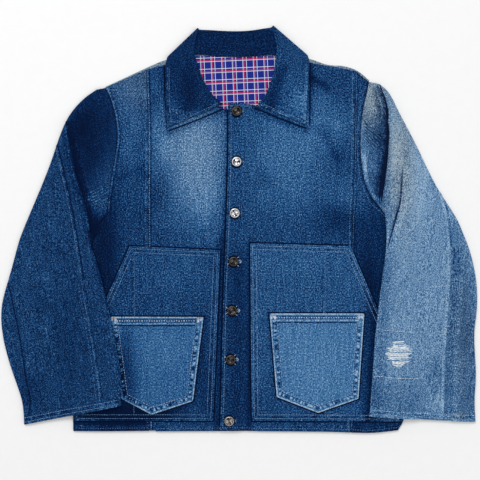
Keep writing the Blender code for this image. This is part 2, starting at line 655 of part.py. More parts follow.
def make_collar(garment, denim):
    """The collar: its leaf on the fronts and under the back of the neck, and its band inside the neck."""
    right = leaf_front_rows(RIGHT_LEAF_ROLL, RIGHT_LEAF_EDGE)
    left = leaf_front_rows(LEFT_LEAF_ROLL, LEFT_LEAF_EDGE)
    rows = right + leaf_crease_rows(right[-1], RIGHT_CREASE_FOOT, RIGHT_CREASE_OUT)
    for start, end in zip(curve_through(BACK_LEAF_ROLL, 1), curve_through(BACK_LEAF_EDGE, 1)):
        places = [start.lerp(end, step / LEAF_COLUMNS) for step in range(LEAF_COLUMNS + 1)]
        rows.append([Vector((p.x, p.y, COLLAR_WALL / 2)) for p in places])
    rows += list(reversed(leaf_crease_rows(left[-1], LEFT_CREASE_FOOT, LEFT_CREASE_OUT))) + list(reversed(left))
    garment.cloth("collar_leaf", rows, COLLAR_WALL, denim, full_bends=False)

    band_rows = []
    for start, end in zip(curve_through(BAND_TOP, 2), curve_through(BAND_SEAM, 2)):
        row = []
        for step in range(4):
            place = start.lerp(end, step / 3)
            row.append((place.x, place.y, BAND_ON_LEAF + (BAND_ON_LINING - BAND_ON_LEAF) * step / 3))
        band_rows.append(row)
    garment.cloth("collar_band", band_rows, BAND_WALL, denim)


def make_large_pocket(garment, name, inner, outer, surface, denim):
    """A large pocket with a slanted mouth, laid on the front."""
    inner_rail = even(inner[:2], 3, True) + even(inner[1:], 5, True)[1:]
    outer_rail = even(outer[:2], 3, True) + even(outer[1:], 5, True)[1:]
    rows = across([inner_rail, outer_rail], [9])
    lift = FRONT_WALL / 2 + LAY_GAP + PATCH_WALL / 2
    garment.cloth(name, raised(rows, lambda x, y: surface(x, y) + lift), PATCH_WALL, denim)


def make_jeans_pocket(garment, name, foot, top, surface, denim):
    """A small five-sided pocket laid on the large one."""
    foot_rail = even(foot, 6, True)
    foot_rail[3] = Vector(foot[1])
    top_rail = even(top, 6, True)
    rows = [[a.lerp(b, step / 5) for a, b in zip(foot_rail, top_rail)] for step in range(6)]
    lift = FRONT_WALL / 2 + 2 * LAY_GAP + PATCH_WALL * 1.5
    garment.cloth(name, raised(rows, lambda x, y: surface(x, y) + lift), PATCH_WALL, denim)


def make_buttons(garment, steel):
    """Seven domed shank buttons in their buttonholes."""
    profile = [(0.0, 1.0), (0.45, 0.88), (0.62, 0.98), (0.86, 0.80), (1.0, 0.36), (0.94, 0.0), (0.0, 0.0)]
    for number, (x, y) in enumerate(BUTTONS, start=1):
        outline = bmesh.new()
        points = [outline.verts.new((BUTTON_RADIUS * r, 0.0, BUTTON_HEIGHT * h)) for r, h in profile]
        for a, b in zip(points, points[1:]):
            outline.edges.new((a, b))
        mesh = bpy.data.meshes.new(f"button_{number}")
        outline.to_mesh(mesh)
        outline.free()
        button = garment.add(f"button_{number}", mesh, steel)
        button.location = (x, y, left_front_middle(x, y) + FRONT_WALL / 2 + LAY_GAP)
        turn = button.modifiers.new("turn", "SCREW")
        turn.steps = BUTTON_STEPS
        turn.render_steps = BUTTON_STEPS
        turn.use_merge_vertices = True
        turn.merge_threshold = 0.00001


def make_jacket():
    """Builds every piece of the jacket."""
    clear_scene()
    garment = Garment()
    navy = cloth_material("navy_denim", NAVY)
    indigo = cloth_material("indigo_denim", INDIGO)
    faded = cloth_material("faded_denim", FADED)
    slate = cloth_material("slate_denim", SLATE)
    pocket_blue = cloth_material("pocket_denim", POCKET_BLUE)
    check = cloth_material("check_lining", CHECK_BLUE)
    steel = cloth_material("button_steel", STEEL, 0.35, 1.0)
    make_back(garment, slate)
    make_lining(garment, check)
    make_fronts(garment, indigo, faded, indigo)
    make_sleeve(garment, "right", -1, RIGHT_SLEEVE_OUTER, RIGHT_SLEEVE_FOLD, RIGHT_ARMHOLE_LINE, RIGHT_FOLD_DEPTH,
                RIGHT_SLEEVE_FOLDS, RIGHT_UNDER_ENDS, navy)
    make_sleeve(garment, "left", 1, LEFT_SLEEVE_OUTER, LEFT_SLEEVE_FOLD, LEFT_ARMHOLE_LINE, LEFT_FOLD_DEPTH,
                LEFT_SLEEVE_FOLDS, LEFT_UNDER_ENDS, slate)
    make_collar(garment, navy)
    make_large_pocket(garment, "pocket_right", RIGHT_POCKET_INNER, RIGHT_POCKET_OUTER, front_middle, indigo)
    make_large_pocket(garment, "pocket_left", LEFT_POCKET_INNER, LEFT_POCKET_OUTER, left_front_middle, indigo)
    make_jeans_pocket(garment, "jeans_pocket_right", RIGHT_JEANS_FOOT, RIGHT_JEANS_TOP, front_middle, pocket_blue)
    make_jeans_pocket(garment, "jeans_pocket_left", LEFT_JEANS_FOOT, LEFT_JEANS_TOP, left_front_middle, pocket_blue)
    make_buttons(garment, steel)


make_jacket()
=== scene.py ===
"""The looks of a patched denim work jacket that lies flat with its sleeves beside the body.

Metres, +Z up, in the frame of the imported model. Right and left are the wearer's.
"""

import enum
import json
import logging
import math
from collections.abc import Callable, Mapping, Sequence
from dataclasses import dataclass

import bmesh
import bpy
import numpy as np
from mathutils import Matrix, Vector
from mathutils.bvhtree import BVHTree

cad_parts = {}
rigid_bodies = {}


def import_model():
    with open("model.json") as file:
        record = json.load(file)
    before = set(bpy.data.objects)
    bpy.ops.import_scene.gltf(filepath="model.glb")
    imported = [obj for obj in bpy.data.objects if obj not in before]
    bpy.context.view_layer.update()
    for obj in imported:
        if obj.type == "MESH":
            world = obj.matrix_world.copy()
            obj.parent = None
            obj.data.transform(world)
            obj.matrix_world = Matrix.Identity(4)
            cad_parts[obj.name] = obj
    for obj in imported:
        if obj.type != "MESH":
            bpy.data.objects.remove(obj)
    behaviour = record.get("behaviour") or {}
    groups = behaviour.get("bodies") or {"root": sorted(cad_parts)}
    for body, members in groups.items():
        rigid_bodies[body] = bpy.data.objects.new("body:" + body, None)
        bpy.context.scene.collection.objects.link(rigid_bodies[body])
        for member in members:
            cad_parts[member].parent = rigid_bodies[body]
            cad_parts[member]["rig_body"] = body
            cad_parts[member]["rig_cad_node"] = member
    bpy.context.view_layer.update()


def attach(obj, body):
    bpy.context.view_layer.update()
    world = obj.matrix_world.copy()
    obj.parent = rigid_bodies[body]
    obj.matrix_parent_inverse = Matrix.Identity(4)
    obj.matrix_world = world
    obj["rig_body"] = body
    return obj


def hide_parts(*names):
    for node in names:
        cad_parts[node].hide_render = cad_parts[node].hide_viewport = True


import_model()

LOG = logging.getLogger("patched_jacket")
Point = tuple[float, ...]
Height = Callable[[np.ndarray, np.ndarray], np.ndarray]

# Cloth thicknesses and the gaps between panels, as the solids have them.
BODY_WALL = 0.0016
SLEEVE_WALL = 0.0016
LINING_WALL = 0.001
COLLAR_WALL = 0.0022
PATCH_WALL = 0.0012
BAND_WALL = 0.0016
SEAM_GAP = 0.0003
LAY_GAP = 0.0005
TO_CENTRE = (-0.00026, 0.00009, 0.0)

# Outline points of the body, as the solids have them.
LEFT_EDGE = [(-0.032, -0.3425), (-0.03, -0.274), (-0.026, -0.104), (-0.021, 0.024), (-0.018, 0.134),
             (-0.018, 0.213)]
LEFT_NECK = [(0.021, 0.2105), (0.032, 0.2085), (0.05, 0.219), (0.068, 0.245), (0.079, 0.272), (0.084, 0.2895)]
LEFT_NECK_TOP = [(-0.018, 0.213), (0.0075, 0.213), (0.021, 0.2105)]
LEFT_SEAM = [(0.189, -0.3445), (0.191, -0.027), (0.194, 0.066), (0.196, 0.168), (0.197, 0.2675)]
LEFT_SIDE = [(0.27, -0.3415), (0.28, -0.322), (0.275, -0.223), (0.267, -0.104), (0.254, 0.024)]
LEFT_ARMHOLE = [(0.2205, 0.25), (0.215, 0.226), (0.209, 0.197), (0.206, 0.17), (0.2055, 0.135),
                (0.211, 0.085), (0.227, 0.048), (0.254, 0.024)]
RIGHT_NECK = [(0.006, 0.204), (-0.028, 0.204), (-0.055, 0.216), (-0.075, 0.243), (-0.088, 0.272),
              (-0.093, 0.2885)]
RIGHT_SEAM = [(-0.151, -0.342), (-0.1535, -0.024), (-0.154, 0.049), (-0.154, 0.168), (-0.157, 0.2705)]
RIGHT_SIDE = [(-0.281, -0.343), (-0.2815, -0.318), (-0.27, -0.223), (-0.257, -0.104), (-0.248, -0.019)]
RIGHT_ARMHOLE = [(-0.2265, 0.24), (-0.215, 0.214), (-0.2075, 0.18), (-0.206, 0.15), (-0.2125, 0.108),
                 (-0.22, 0.06), (-0.2255, 0.016), (-0.248, -0.019)]
RIGHT_BACK_SHOULDER = [(-0.2268, 0.2415), (-0.16, 0.2725), (-0.141, 0.281), (-0.128, 0.2862), (-0.11, 0.2905),
                       (-0.093, 0.296)]
BACK_NECK = [(-0.093, 0.296), (-0.074, 0.2995), (-0.04, 0.2965), (-0.007, 0.295), (0.028, 0.2965),
             (0.064, 0.2995), (0.084, 0.2965)]
LEFT_BACK_SHOULDER = [(0.084, 0.2965), (0.1, 0.2935), (0.124, 0.288), (0.151, 0.279), (0.18, 0.2765),
                      (0.202, 0.2685), (0.2208, 0.253)]
HEM = [(-0.281, -0.343), (-0.218, -0.343), (-0.109, -0.342), (0.036, -0.343), (0.155, -0.344),
       (0.226, -0.346), (0.27, -0.3415)]
LINING_OUTLINE = [(-0.08, 0.2975), (-0.082, 0.284), (-0.07, 0.25), (-0.055, 0.225), (-0.036, 0.2),
                  (-0.02, 0.196), (0.032, 0.196), (0.044, 0.206), (0.056, 0.225), (0.067, 0.25),
                  (0.073, 0.284), (0.072, 0.2975), (0.028, 0.2955), (-0.007, 0.294), (-0.04, 0.2955)]

# Fine rows and columns for one of the solids' coarse ones.
FINER = 10
EDGE_ROWS = 14 * FINER
NECK_ROWS = 8 * FINER
SIDE_ROWS = 8 * FINER
# Steps between two points of a curve.
CURVE_STEPS = 12


def ease(share: np.ndarray | float) -> np.ndarray:
    """Eases from 0 to 1 with a level start and end."""
    share = np.clip(share, 0.0, 1.0)
    return share * share * (3 - 2 * share)


def swell(distance: np.ndarray | float, reach: float) -> np.ndarray:
    """Rises from 0 at an edge to 1 at the reach, round like a filled sheet."""
    return 1 - (1 - np.clip(distance / reach, 0.0, 1.0)) ** 2


def curve_through(points: Sequence[Point], steps: int = CURVE_STEPS) -> np.ndarray:
    """A centripetal Catmull-Rom curve.

    Args:
        points: What the curve runs through.
        steps: Steps between two of the points.

    Returns:
        The curve's points, one a row.
    """
    knots = [np.array(p, dtype=float) for p in points]
    knots = [2 * knots[0] - knots[1]] + knots + [2 * knots[-1] - knots[-2]]
    curve = []
    for a, b, c, d in zip(knots, knots[1:], knots[2:], knots[3:]):
        t1 = max(1e-6, float(np.linalg.norm(b - a))) ** 0.5
        t2 = t1 + max(1e-6, float(np.linalg.norm(c - b))) ** 0.5
        t3 = t2 + max(1e-6, float(np.linalg.norm(d - c))) ** 0.5
        for step in range(steps):
            t = t1 + (t2 - t1) * step / steps
            ab = a + (b - a) * (t / t1)
            bc = b + (c - b) * ((t - t1) / (t2 - t1))
            cd = c + (d - c) * ((t - t2) / (t3 - t2))
            abc = ab + (bc - ab) * (t / t2)
            bcd = bc + (cd - bc) * ((t - t1) / (t3 - t1))
            curve.append(abc + (bcd - abc) * ((t - t1) / (t2 - t1)))
    return np.array(curve + [knots[-2]])


def lengths_of(line: np.ndarray) -> np.ndarray:
    """The distance along a line up to each of its points."""
    return np.concatenate([[0.0], np.cumsum(np.linalg.norm(np.diff(line, axis=0), axis=1))])


def even(points: Sequence[Point], count: int, straight: bool = False) -> np.ndarray:
    """The curve or polyline through the points, as equal steps along its length.

    Args:
        points: What the line runs through.
        count: How many steps it gets.
        straight: True for a polyline.

    Returns:
        The line's points, one a row.
    """
    dense = np.array(points, dtype=float) if straight else curve_through(points)
    lengths = lengths_of(dense)
    targets = np.linspace(0.0, lengths[-1], count + 1)
    return np.stack([np.interp(targets, lengths, dense[:, axis]) for axis in range(dense.shape[1])], axis=1)


def nearest(x: np.ndarray, y: np.ndarray, line: np.ndarray) -> tuple[np.ndarray, np.ndarray]:
    """How far points are from a line, and how far along it the nearest place is.

    Args:
        x: The points' x.
        y: The points' y.
        line: The line's points, one a row.

    Returns:
        The distances and the lengths along the line.
    """
    shape = x.shape
    here = np.stack([x.ravel(), y.ravel()], axis=1)
    best = np.full(len(here), 1e9)
    reached = np.zeros(len(here))
    start = 0.0
    for a, b in zip(line[:-1, :2], line[1:, :2]):
        step = b - a
        size = float(step @ step)
        if size == 0.0:
            continue
        share = np.clip((here - a) @ step / size, 0.0, 1.0)
        distance = np.linalg.norm(here - a - share[:, None] * step, axis=1)
        closer = distance < best
        best[closer] = distance[closer]
        reached[closer] = start + share[closer] * size ** 0.5
        start += size ** 0.5
    return best.reshape(shape), reached.reshape(shape)


def value_noise(x: np.ndarray, y: np.ndarray, cell: float, seed: int) -> np.ndarray:
    """Smooth noise from -1 to 1 over the floor plane.

    Args:
        x: The points' x.
        y: The points' y.
        cell: The size of one bump.
        seed: Which noise it is.

    Returns:
        The noise at each point.
    """
    table = np.random.default_rng(seed).uniform(-1.0, 1.0, (64, 64))
    u, v = x / cell, y / cell
    i, j = np.floor(u).astype(int), np.floor(v).astype(int)
    s, t = ease(u - i), ease(v - j)
    corners = [table[(j + b) % 64, (i + a) % 64] for b in (0, 1) for a in (0, 1)]
    return (corners[0] * (1 - s) + corners[1] * s) * (1 - t) + (corners[2] * (1 - s) + corners[3] * s) * t


def between(start: Sequence[float], end: Sequence[float], steps: int) -> list[Vector]:
    """Even points on a straight line, with both its ends."""
    return [Vector(start).lerp(Vector(end), step / steps) for step in range(steps + 1)]


@dataclass(frozen=True)
class Fold:
    """A long soft ridge in cloth, or a hollow where its height is negative.

    Attributes:
        start: One end.
        end: The other end.
        half_width: How far it reaches to each side.
        height: How high it stands.
    """

    start: Point
    end: Point
    half_width: float
    height: float

    def rise(self, x: np.ndarray, y: np.ndarray) -> np.ndarray:
        """What the fold adds to the cloth's height.

        Args:
            x: The points' x.
            y: The points' y.

        Returns:
            The added height at each point.
        """
        along = np.array(self.end) - np.array(self.start)
        dx, dy = x - self.start[0], y - self.start[1]
        share = np.clip((dx * along[0] + dy * along[1]) / float(along @ along), 0.0, 1.0)
        across = np.hypot(dx - share * along[0], dy - share * along[1]) / self.half_width
        return self.height * np.exp(-across * across)


def folds_height(folds: Sequence[Fold], x: np.ndarray, y: np.ndarray) -> np.ndarray:
    """What a set of folds adds to the cloth's height.

    Args:
        folds: The folds.
        x: The points' x.
        y: The points' y.

    Returns:
        The added height at each point.
    """
    total = np.zeros(np.shape(x))
    for fold in folds:
        total = total + fold.rise(x, y)
    return total


def level(height: float) -> Height:
    """A cloth's height where it lies flat."""
    return lambda x, y: np.full(x.shape, height)


class BodyForm:
    """The height of the fronts over the floor."""

    SWELL = 0.003
    SIDE_EASE = 0.06
    SHOULDER_EASE = 0.045
    HEM_EASE = 0.06
    HEM_SHARE = 0.4
    LAP_START = 0.0255
    LAP_END = 0.039
    LAP_LIFT = BODY_WALL + LAY_GAP
    FOLDS = (
        Fold((-0.22, 0.02), (-0.17, 0.085), 0.02, 0.0028),
        Fold((-0.245, -0.035), (-0.205, -0.012), 0.016, 0.0024),
        Fold((0.226, 0.006), (0.196, 0.06), 0.018, 0.002),
        Fold((0.25, -0.006), (0.215, -0.022), 0.016, 0.0022),
        Fold((0.132, 0.24), (0.18, 0.215), 0.022, 0.0022),
    )

    def __init__(self) -> None:
        """Works out the outlines that the heights depend on."""
        self.right_side = curve_through(RIGHT_SIDE)
        self.left_side = curve_through(LEFT_SIDE)
        self.left_edge = curve_through(LEFT_EDGE)
        self.hem = curve_through(HEM)
        self.shoulder = curve_through(RIGHT_BACK_SHOULDER + BACK_NECK[1:] + LEFT_BACK_SHOULDER[1:], 6)

    def inside(self, x: np.ndarray, y: np.ndarray) -> np.ndarray:
        """How far a point is in from the nearer side seam.

        Args:
            x: The points' x.
            y: The points' y.

        Returns:
            The distance at each point.
        """
        right = x - np.interp(y, self.right_side[:, 1], self.right_side[:, 0])
        left = np.interp(y, self.left_side[:, 1], self.left_side[:, 0]) - x
        return np.minimum(right, left)

    def front(self, x: np.ndarray, y: np.ndarray) -> np.ndarray:
        """Height of the middle of the fronts' wall where they lie on the back.

        Args:
            x: The points' x.
            y: The points' y.

        Returns:
            The height at each point.
        """
        side = self.inside(x, y)
        hem = y - np.interp(x, self.hem[:, 0], self.hem[:, 1])
        shoulder = np.interp(x, self.shoulder[:, 0], self.shoulder[:, 1]) - y
        hem_share = self.HEM_SHARE + (1 - self.HEM_SHARE) * swell(hem, self.HEM_EASE)
        lift = self.SWELL * swell(side, self.SIDE_EASE) * hem_share * swell(shoulder, self.SHOULDER_EASE)
        held = ease(side / 0.03) * ease(shoulder / 0.03)
        return BODY_WALL + SEAM_GAP + BODY_WALL / 2 + lift + held * folds_height(self.FOLDS, x, y)

    def left_front(self, x: np.ndarray, y: np.ndarray) -> np.ndarray:
        """Height of the middle of the left front's wall, which laps over the right front.

        Args:
            x: The points' x.
            y: The points' y.

        Returns:
            The height at each point.
        """
        inward = x - np.interp(y, self.left_edge[:, 1], self.left_edge[:, 0])
        step = 1 - (inward - self.LAP_START) / (self.LAP_END - self.LAP_START)
        return self.front(x, y) + self.LAP_LIFT * np.clip(step, 0.0, 1.0)


BODY = BodyForm()


@dataclass(frozen=True)
class Spot:
    """A soft patch of lighter or darker colour, used both for fading of the indigo and for painted shade and
    light.

    Attributes:
        at: Its middle.
        reach: Its half sizes across and down.
        amount: What it adds to the fading and painted shade, from 0 for the darkest indigo to 1 for bare
            thread.
        turn: Its turn in degrees.
    """

    at: Point
    reach: Point
    amount: float
    turn: float = 0.0

    def value(self, x: np.ndarray, y: np.ndarray) -> np.ndarray:
        """What the spot adds at each point.

        Args:
            x: The points' x.
            y: The points' y.

        Returns:
            The added fade.
        """
        angle = math.radians(self.turn)
        dx, dy = x - self.at[0], y - self.at[1]
        u = (dx * math.cos(angle) + dy * math.sin(angle)) / self.reach[0]
        v = (dy * math.cos(angle) - dx * math.sin(angle)) / self.reach[1]
        return self.amount * np.exp(-(u * u + v * v) ** 1.3)


@dataclass(frozen=True)
class Rub:
    """Wear, or painted shade and light, that follows a line.

    Attributes:
        line: The line that it follows.
        width: How far it reaches to each side.
        amount: What it adds to the fading and painted shade.
        broken: How much of it comes and goes along the line, from 0 to 1.
        period: The length of one bright and dark part.
        offset: How far from the line its middle runs.
    """

    line: Sequence[Point]
    width: float
    amount: float
    broken: float = 0.0
    period: float = 0.008
    offset: float = 0.0

    def value(self, x: np.ndarray, y: np.ndarray) -> np.ndarray:
        """What the rub adds at each point.

        Args:
            x: The points' x.
            y: The points' y.

        Returns:
            The added fade.
        """
        points = np.array(self.line, dtype=float)
        distance, reached = nearest(x, y, points)
        band = np.exp(-(((distance - self.offset) / self.width) ** 2))
        wave = value_noise(reached, np.zeros_like(reached), self.period, int(abs(points[0, 0]) * 9973) % 997)
        return self.amount * band * (1 - self.broken + self.broken * 1.6 * wave)


@dataclass(frozen=True)
class DyeAndShade:
    """How faded a piece is over its surface, with the shade and light that are painted into it in folds,
    recesses and beside edges.

    Attributes:
        base: Its general fade.
        spots: Soft patches.
        rubs: Wear and painted shade along lines.
        grey: Its general turn towards grey, from 0 to 1.
        grey_spots: Soft patches of grey.
    """

    base: float
    spots: Sequence[Spot] = ()
    rubs: Sequence[Rub] = ()
    grey: float = 0.0
    grey_spots: Sequence[Spot] = ()

    def fade(self, x: np.ndarray, y: np.ndarray) -> np.ndarray:
        """The fading, with its painted shade and light, at each point.

        Args:
            x: The points' x.
            y: The points' y.

        Returns:
            The fade, which may pass 0 or 1.
        """
        total = np.full(x.shape, self.base)
        for part in (*self.spots, *self.rubs):
            total = total + part.value(x, y)
        return total

    def greyness(self, x: np.ndarray, y: np.ndarray) -> np.ndarray:
        """The turn towards grey at each point.

        Args:
            x: The points' x.
            y: The points' y.

        Returns:
            The turn, from 0 to 1.
        """
        total = np.full(x.shape, self.grey)
        for part in self.grey_spots:
            total = total + part.value(x, y)
        return np.clip(total, 0.0, 1.0)


def srgb(red: int, green: int, blue: int) -> tuple[float, float, float, float]:
    """A linear colour with alpha from the usual 0 to 255 numbers."""
    linear = [((c / 255 + 0.055) / 1.055) ** 2.4 if c > 10 else c / 255 / 12.92 for c in (red, green, blue)]
    return (*linear, 1.0)


class Value:
    """A number that varies over a surface, as a shader socket that takes part in Python's arithmetic."""

    def __init__(self, recipe: "Recipe", socket: bpy.types.NodeSocket) -> None:
        """Wraps an output socket of a recipe's tree."""
        self.recipe = recipe
        self.socket = socket

    def _with(self, operation: str, first: "Value | float", second: "Value | float") -> "Value":
        """Adds one Math node."""
        made = self.recipe.node("ShaderNodeMath", {"operation": operation}, {0: first, 1: second})
        return Value(self.recipe, made.outputs[0])

    def __add__(self, other: "Value | float") -> "Value":
        """The sum."""
        return self._with("ADD", self, other)

    def __radd__(self, other: float) -> "Value":
        """The sum, reflected."""
        return self._with("ADD", other, self)

    def __sub__(self, other: "Value | float") -> "Value":
        """The difference."""
        return self._with("SUBTRACT", self, other)

    def __rsub__(self, other: float) -> "Value":
        """The difference, reflected."""
        return self._with("SUBTRACT", other, self)

    def __mul__(self, other: "Value | float") -> "Value":
        """The product."""
        return self._with("MULTIPLY", self, other)

    def __rmul__(self, other: float) -> "Value":
        """The product, reflected."""
        return self._with("MULTIPLY", other, self)

    def fraction(self) -> "Value":
        """The part after the decimal point."""
        return self._with("FRACT", self, 0.0)

    def between(self, low: float, high: float, softness: float) -> "Value":
        """1 where the value lies between two limits, and 0 outside them."""
        below, above = (self.rising(limit - softness, limit + softness) for limit in (low, high))
        return below * (1 - above)

    def rising(self, low: float, high: float) -> "Value":
        """Goes smoothly from 0 at the low limit to 1 at the high one.

        Args:
            low: Where it starts.
            high: Where it ends.

        Returns:
            The share.
        """
        settings = {"interpolation_type": "SMOOTHSTEP"}
        made = self.recipe.node("ShaderNodeMapRange", settings, {0: self, 1: low, 2: high})
        return Value(self.recipe, made.outputs[0])


class Recipe:
    """A material that is being made from nodes."""

    def __init__(self, name: str) -> None:
        """Starts a material with its Principled shader and output alone."""
        self.material = bpy.data.materials.new(name)
        self.material.use_nodes = True
        self.tree = self.material.node_tree
        self.shader = self.tree.nodes["Principled BSDF"]

    def node(self, kind: str, settings: Mapping[str, object] | None = None,
             sockets: Mapping[int | str, object] | None = None) -> bpy.types.Node:
        """Adds a node.

        Args:
            kind: The node's type.
            settings: Its own settings, and a ramp's stops as (place, colour) pairs.
            sockets: The value or link of each of its inputs.

        Returns:
            The node.
        """
        made = self.tree.nodes.new(kind)
        for name, setting in (settings or {}).items():
            if name == "stops":
                self._fill(made.color_ramp, setting)
            else:
                setattr(made, name, setting)
        for key, value in (sockets or {}).items():
            self.feed(made.inputs[key], value)
        return made

    def _fill(self, ramp: bpy.types.ColorRamp, stops: Sequence[tuple[float, Point]]) -> None:
        """Gives a ramp its stops.

        Args:
            ramp: The ramp.
            stops: Pairs of place and colour.
        """
        while len(ramp.elements) > 1:
            ramp.elements.remove(ramp.elements[-1])
        ramp.elements[0].position, ramp.elements[0].color = stops[0]
        for place, colour in stops[1:]:
            ramp.elements.new(place).color = colour

    def feed(self, socket: bpy.types.NodeSocket, value: object) -> None:
        """Links a socket or sets its own value.

        Args:
            socket: The input.
            value: A value, a link's start or a plain number.
        """
        if isinstance(value, Value):
            self.tree.links.new(value.socket, socket)
        elif isinstance(value, bpy.types.NodeSocket):
            self.tree.links.new(value, socket)
        else:
            socket.default_value = value

    def mask(self, name: str) -> Value:
        """A number that the piece's mesh keeps at its points."""
        return Value(self, self.node("ShaderNodeAttribute", {"attribute_name": name}).outputs["Fac"])

    def cloth_place(self, scale: Point = (1.0, 1.0, 1.0), turn: float = 0.0) -> bpy.types.NodeSocket:
        """The place on the piece's own cut of cloth, scaled and turned.

        Args:
            scale: The scale along each axis.
            turn: The turn in degrees.

        Returns:
            The place.
        """
        place = self.node("ShaderNodeAttribute", {"attribute_name": "cloth"}).outputs["Vector"]
        sockets = {"Vector": place, "Scale": scale, "Rotation": (0.0, 0.0, math.radians(turn))}
        return self.node("ShaderNodeMapping", None, sockets).outputs["Vector"]

    def noise(self, place: bpy.types.NodeSocket, scale: float, detail: float = 2.0,
              rough: float = 0.5) -> Value:
        """Noise from 0 to 1."""
        sockets = {"Vector": place, "Scale": scale, "Detail": detail, "Roughness": rough}
        return Value(self, self.node("ShaderNodeTexNoise", None, sockets).outputs["Fac"])

    def blend(self, share: Value | float, first: object, second: object) -> bpy.types.NodeSocket:
        """Mixes two colours."""
        return self.node("ShaderNodeMix", {"data_type": "RGBA"}, {0: share, 6: first, 7: second}).outputs[2]

    def ramp(self, share: Value, stops: Sequence[tuple[float, Point]]) -> bpy.types.NodeSocket:
        """A colour looked up in a ramp."""
        return self.node("ShaderNodeValToRGB", {"stops": stops}, {0: share}).outputs["Color"]

    def bump(self, height: Value, distance: float, strength: float) -> bpy.types.NodeSocket:
        """A normal that follows a height."""
        sockets = {"Height": height, "Distance": distance, "Strength": strength}
        return self.node("ShaderNodeBump", None, sockets).outputs["Normal"]

    def finished(self, looks: Mapping[str, object]) -> bpy.types.Material:
        """Feeds the shader's inputs and gives the material.

        Args:
            looks: The value or link of each input, by its label.

        Returns:
            The material.
        """
        for name, value in looks.items():
            self.feed(self.shader.inputs[name], value)
        return self.material


# Indigo from unworn cloth to bare thread; the dark end also colours the painted shade.
INDIGO_STOPS = (
    (0.0, srgb(2, 18, 50)), (0.19, srgb(11, 50, 100)), (0.35, srgb(28, 76, 128)), (0.49, srgb(46, 97, 148)),
    (0.65, srgb(72, 123, 170)), (0.83, srgb(104, 149, 193)), (1.0, srgb(164, 192, 216)),
)
# The same for cloth that has gone grey.
GREY_STOPS = (
    (0.0, srgb(16, 26, 44)), (0.3, srgb(58, 76, 98)), (0.6, srgb(100, 122, 140)), (1.0, srgb(178, 190, 192)),
)


@dataclass(frozen=True)
class Denim:
    """Washed indigo twill.

    Attributes:
        name: The material's name.
        mottle: How strongly the yarns' own fading shows.
        slub: How strongly thick warp yarns show as streaks.
    """

    name: str
    mottle: float = 2.75
    slub: float = 0.42

    def make(self) -> bpy.types.Material:
        """Builds the material.

        Returns:
            The material.
        """
        recipe = Recipe(self.name)
        fine = recipe.noise(recipe.cloth_place((1.0, 0.7, 1.0)), 560.0, 3.0, 0.6)
        streak = recipe.noise(recipe.cloth_place((1.0, 0.1, 1.0)), 260.0, 2.0, 0.55)
        cloud = recipe.noise(recipe.cloth_place(), 46.0, 4.0, 0.6)
        # This stored value carries the indigo's fading and also painted shade and light, so the ramps below
        # colour both.
        fade = recipe.mask("fade")
        depth = fade.rising(0.0, 0.25) * 0.55 + 0.45
        yarns = (fine - 0.5) * self.mottle + (streak - 0.5) * self.slub
        twill = self._twill(recipe)
        wear_and_shade = fade + yarns * depth + (cloud - 0.5) * 0.08 - 0.03 + (twill - 0.5) * 0.1
        blue = recipe.ramp(wear_and_shade, INDIGO_STOPS)
        grey = recipe.ramp(wear_and_shade, GREY_STOPS)
        height = twill * 0.35 + fine * 0.65
        return recipe.finished({
            "Base Color": recipe.blend(recipe.mask("grey"), blue, grey),
            "Normal": recipe.bump(height, 0.0006, 0.55), "Roughness": 0.92, "Specular IOR Level": 0.06,
        })

    def _twill(self, recipe: Recipe) -> Value:
        """The diagonal ribs of the weave.

        Args:
            recipe: The material.

        Returns:
            The ribs' height from 0 to 1.
        """
        place = recipe.cloth_place(turn=62.0)
        settings = {"wave_type": "BANDS", "bands_direction": "X"}
        sockets = {"Vector": place, "Scale": 300.0, "Distortion": 1.2, "Detail": 2.0, "Detail Scale": 2.0}
        return Value(recipe, recipe.node("ShaderNodeTexWave", settings, sockets).outputs["Fac"])


@dataclass(frozen=True)
class CheckedCotton:
    """The lining's woven check of white and red lines on royal blue.

    Attributes:
        name: The material's name.
        across: One repeat across.
        down: One repeat down.
        turn: Its turn in degrees.
    """

    name: str
    across: float = 0.0179
    down: float = 0.019
    turn: float = -4.5

    def make(self) -> bpy.types.Material:
        """Builds the material.

        Returns:
            The material.
        """
        recipe = Recipe(self.name)
        place = recipe.cloth_place(turn=self.turn)
        parts = recipe.node("ShaderNodeSeparateXYZ", None, {0: place})
        warp = (Value(recipe, parts.outputs["X"]) * (1 / self.across) + 40.0).fraction()
        weft = (Value(recipe, parts.outputs["Y"]) * (1 / self.down) + 40.0).fraction()
        thread = recipe.noise(recipe.cloth_place((1.0, 0.25, 1.0)), 900.0)
        ground = recipe.blend(thread, srgb(4, 22, 112), srgb(22, 46, 150))
        colour = ground
        for share in (warp, weft):
            white = share.between(0.03, 0.08, 0.02) + share.between(0.37, 0.42, 0.02)
            red = share.between(0.13, 0.21, 0.02)
            colour = recipe.blend(white * 0.84, colour, srgb(232, 238, 250))
            colour = recipe.blend(red * 0.72, colour, srgb(210, 44, 50))
        return recipe.finished({
            "Base Color": colour, "Normal": recipe.bump(thread, 0.0003, 0.4),
            "Roughness": 0.9, "Specular IOR Level": 0.25,
        })


@dataclass(frozen=True)
class ThreadFinish:
    """Sewing thread, whose fade runs from indigo to bare cotton.

    Attributes:
        name: The material's name.
    """

    name: str

    def make(self) -> bpy.types.Material:
        """Builds the material.

        Returns:
            The material.
        """
        recipe = Recipe(self.name)
        ply = recipe.noise(recipe.cloth_place(), 1500.0, 2.0)
        tone = recipe.mask("fade") + (ply - 0.5) * 0.25
        stops = ((0.0, srgb(8, 26, 62)), (0.45, srgb(84, 136, 188)), (0.75, srgb(148, 188, 226)),
                 (1.0, srgb(244, 252, 255)))
        warm = recipe.blend(recipe.mask("grey"), recipe.ramp(tone, stops), srgb(196, 152, 96))
        return recipe.finished({"Base Color": warm, "Roughness": 0.75})


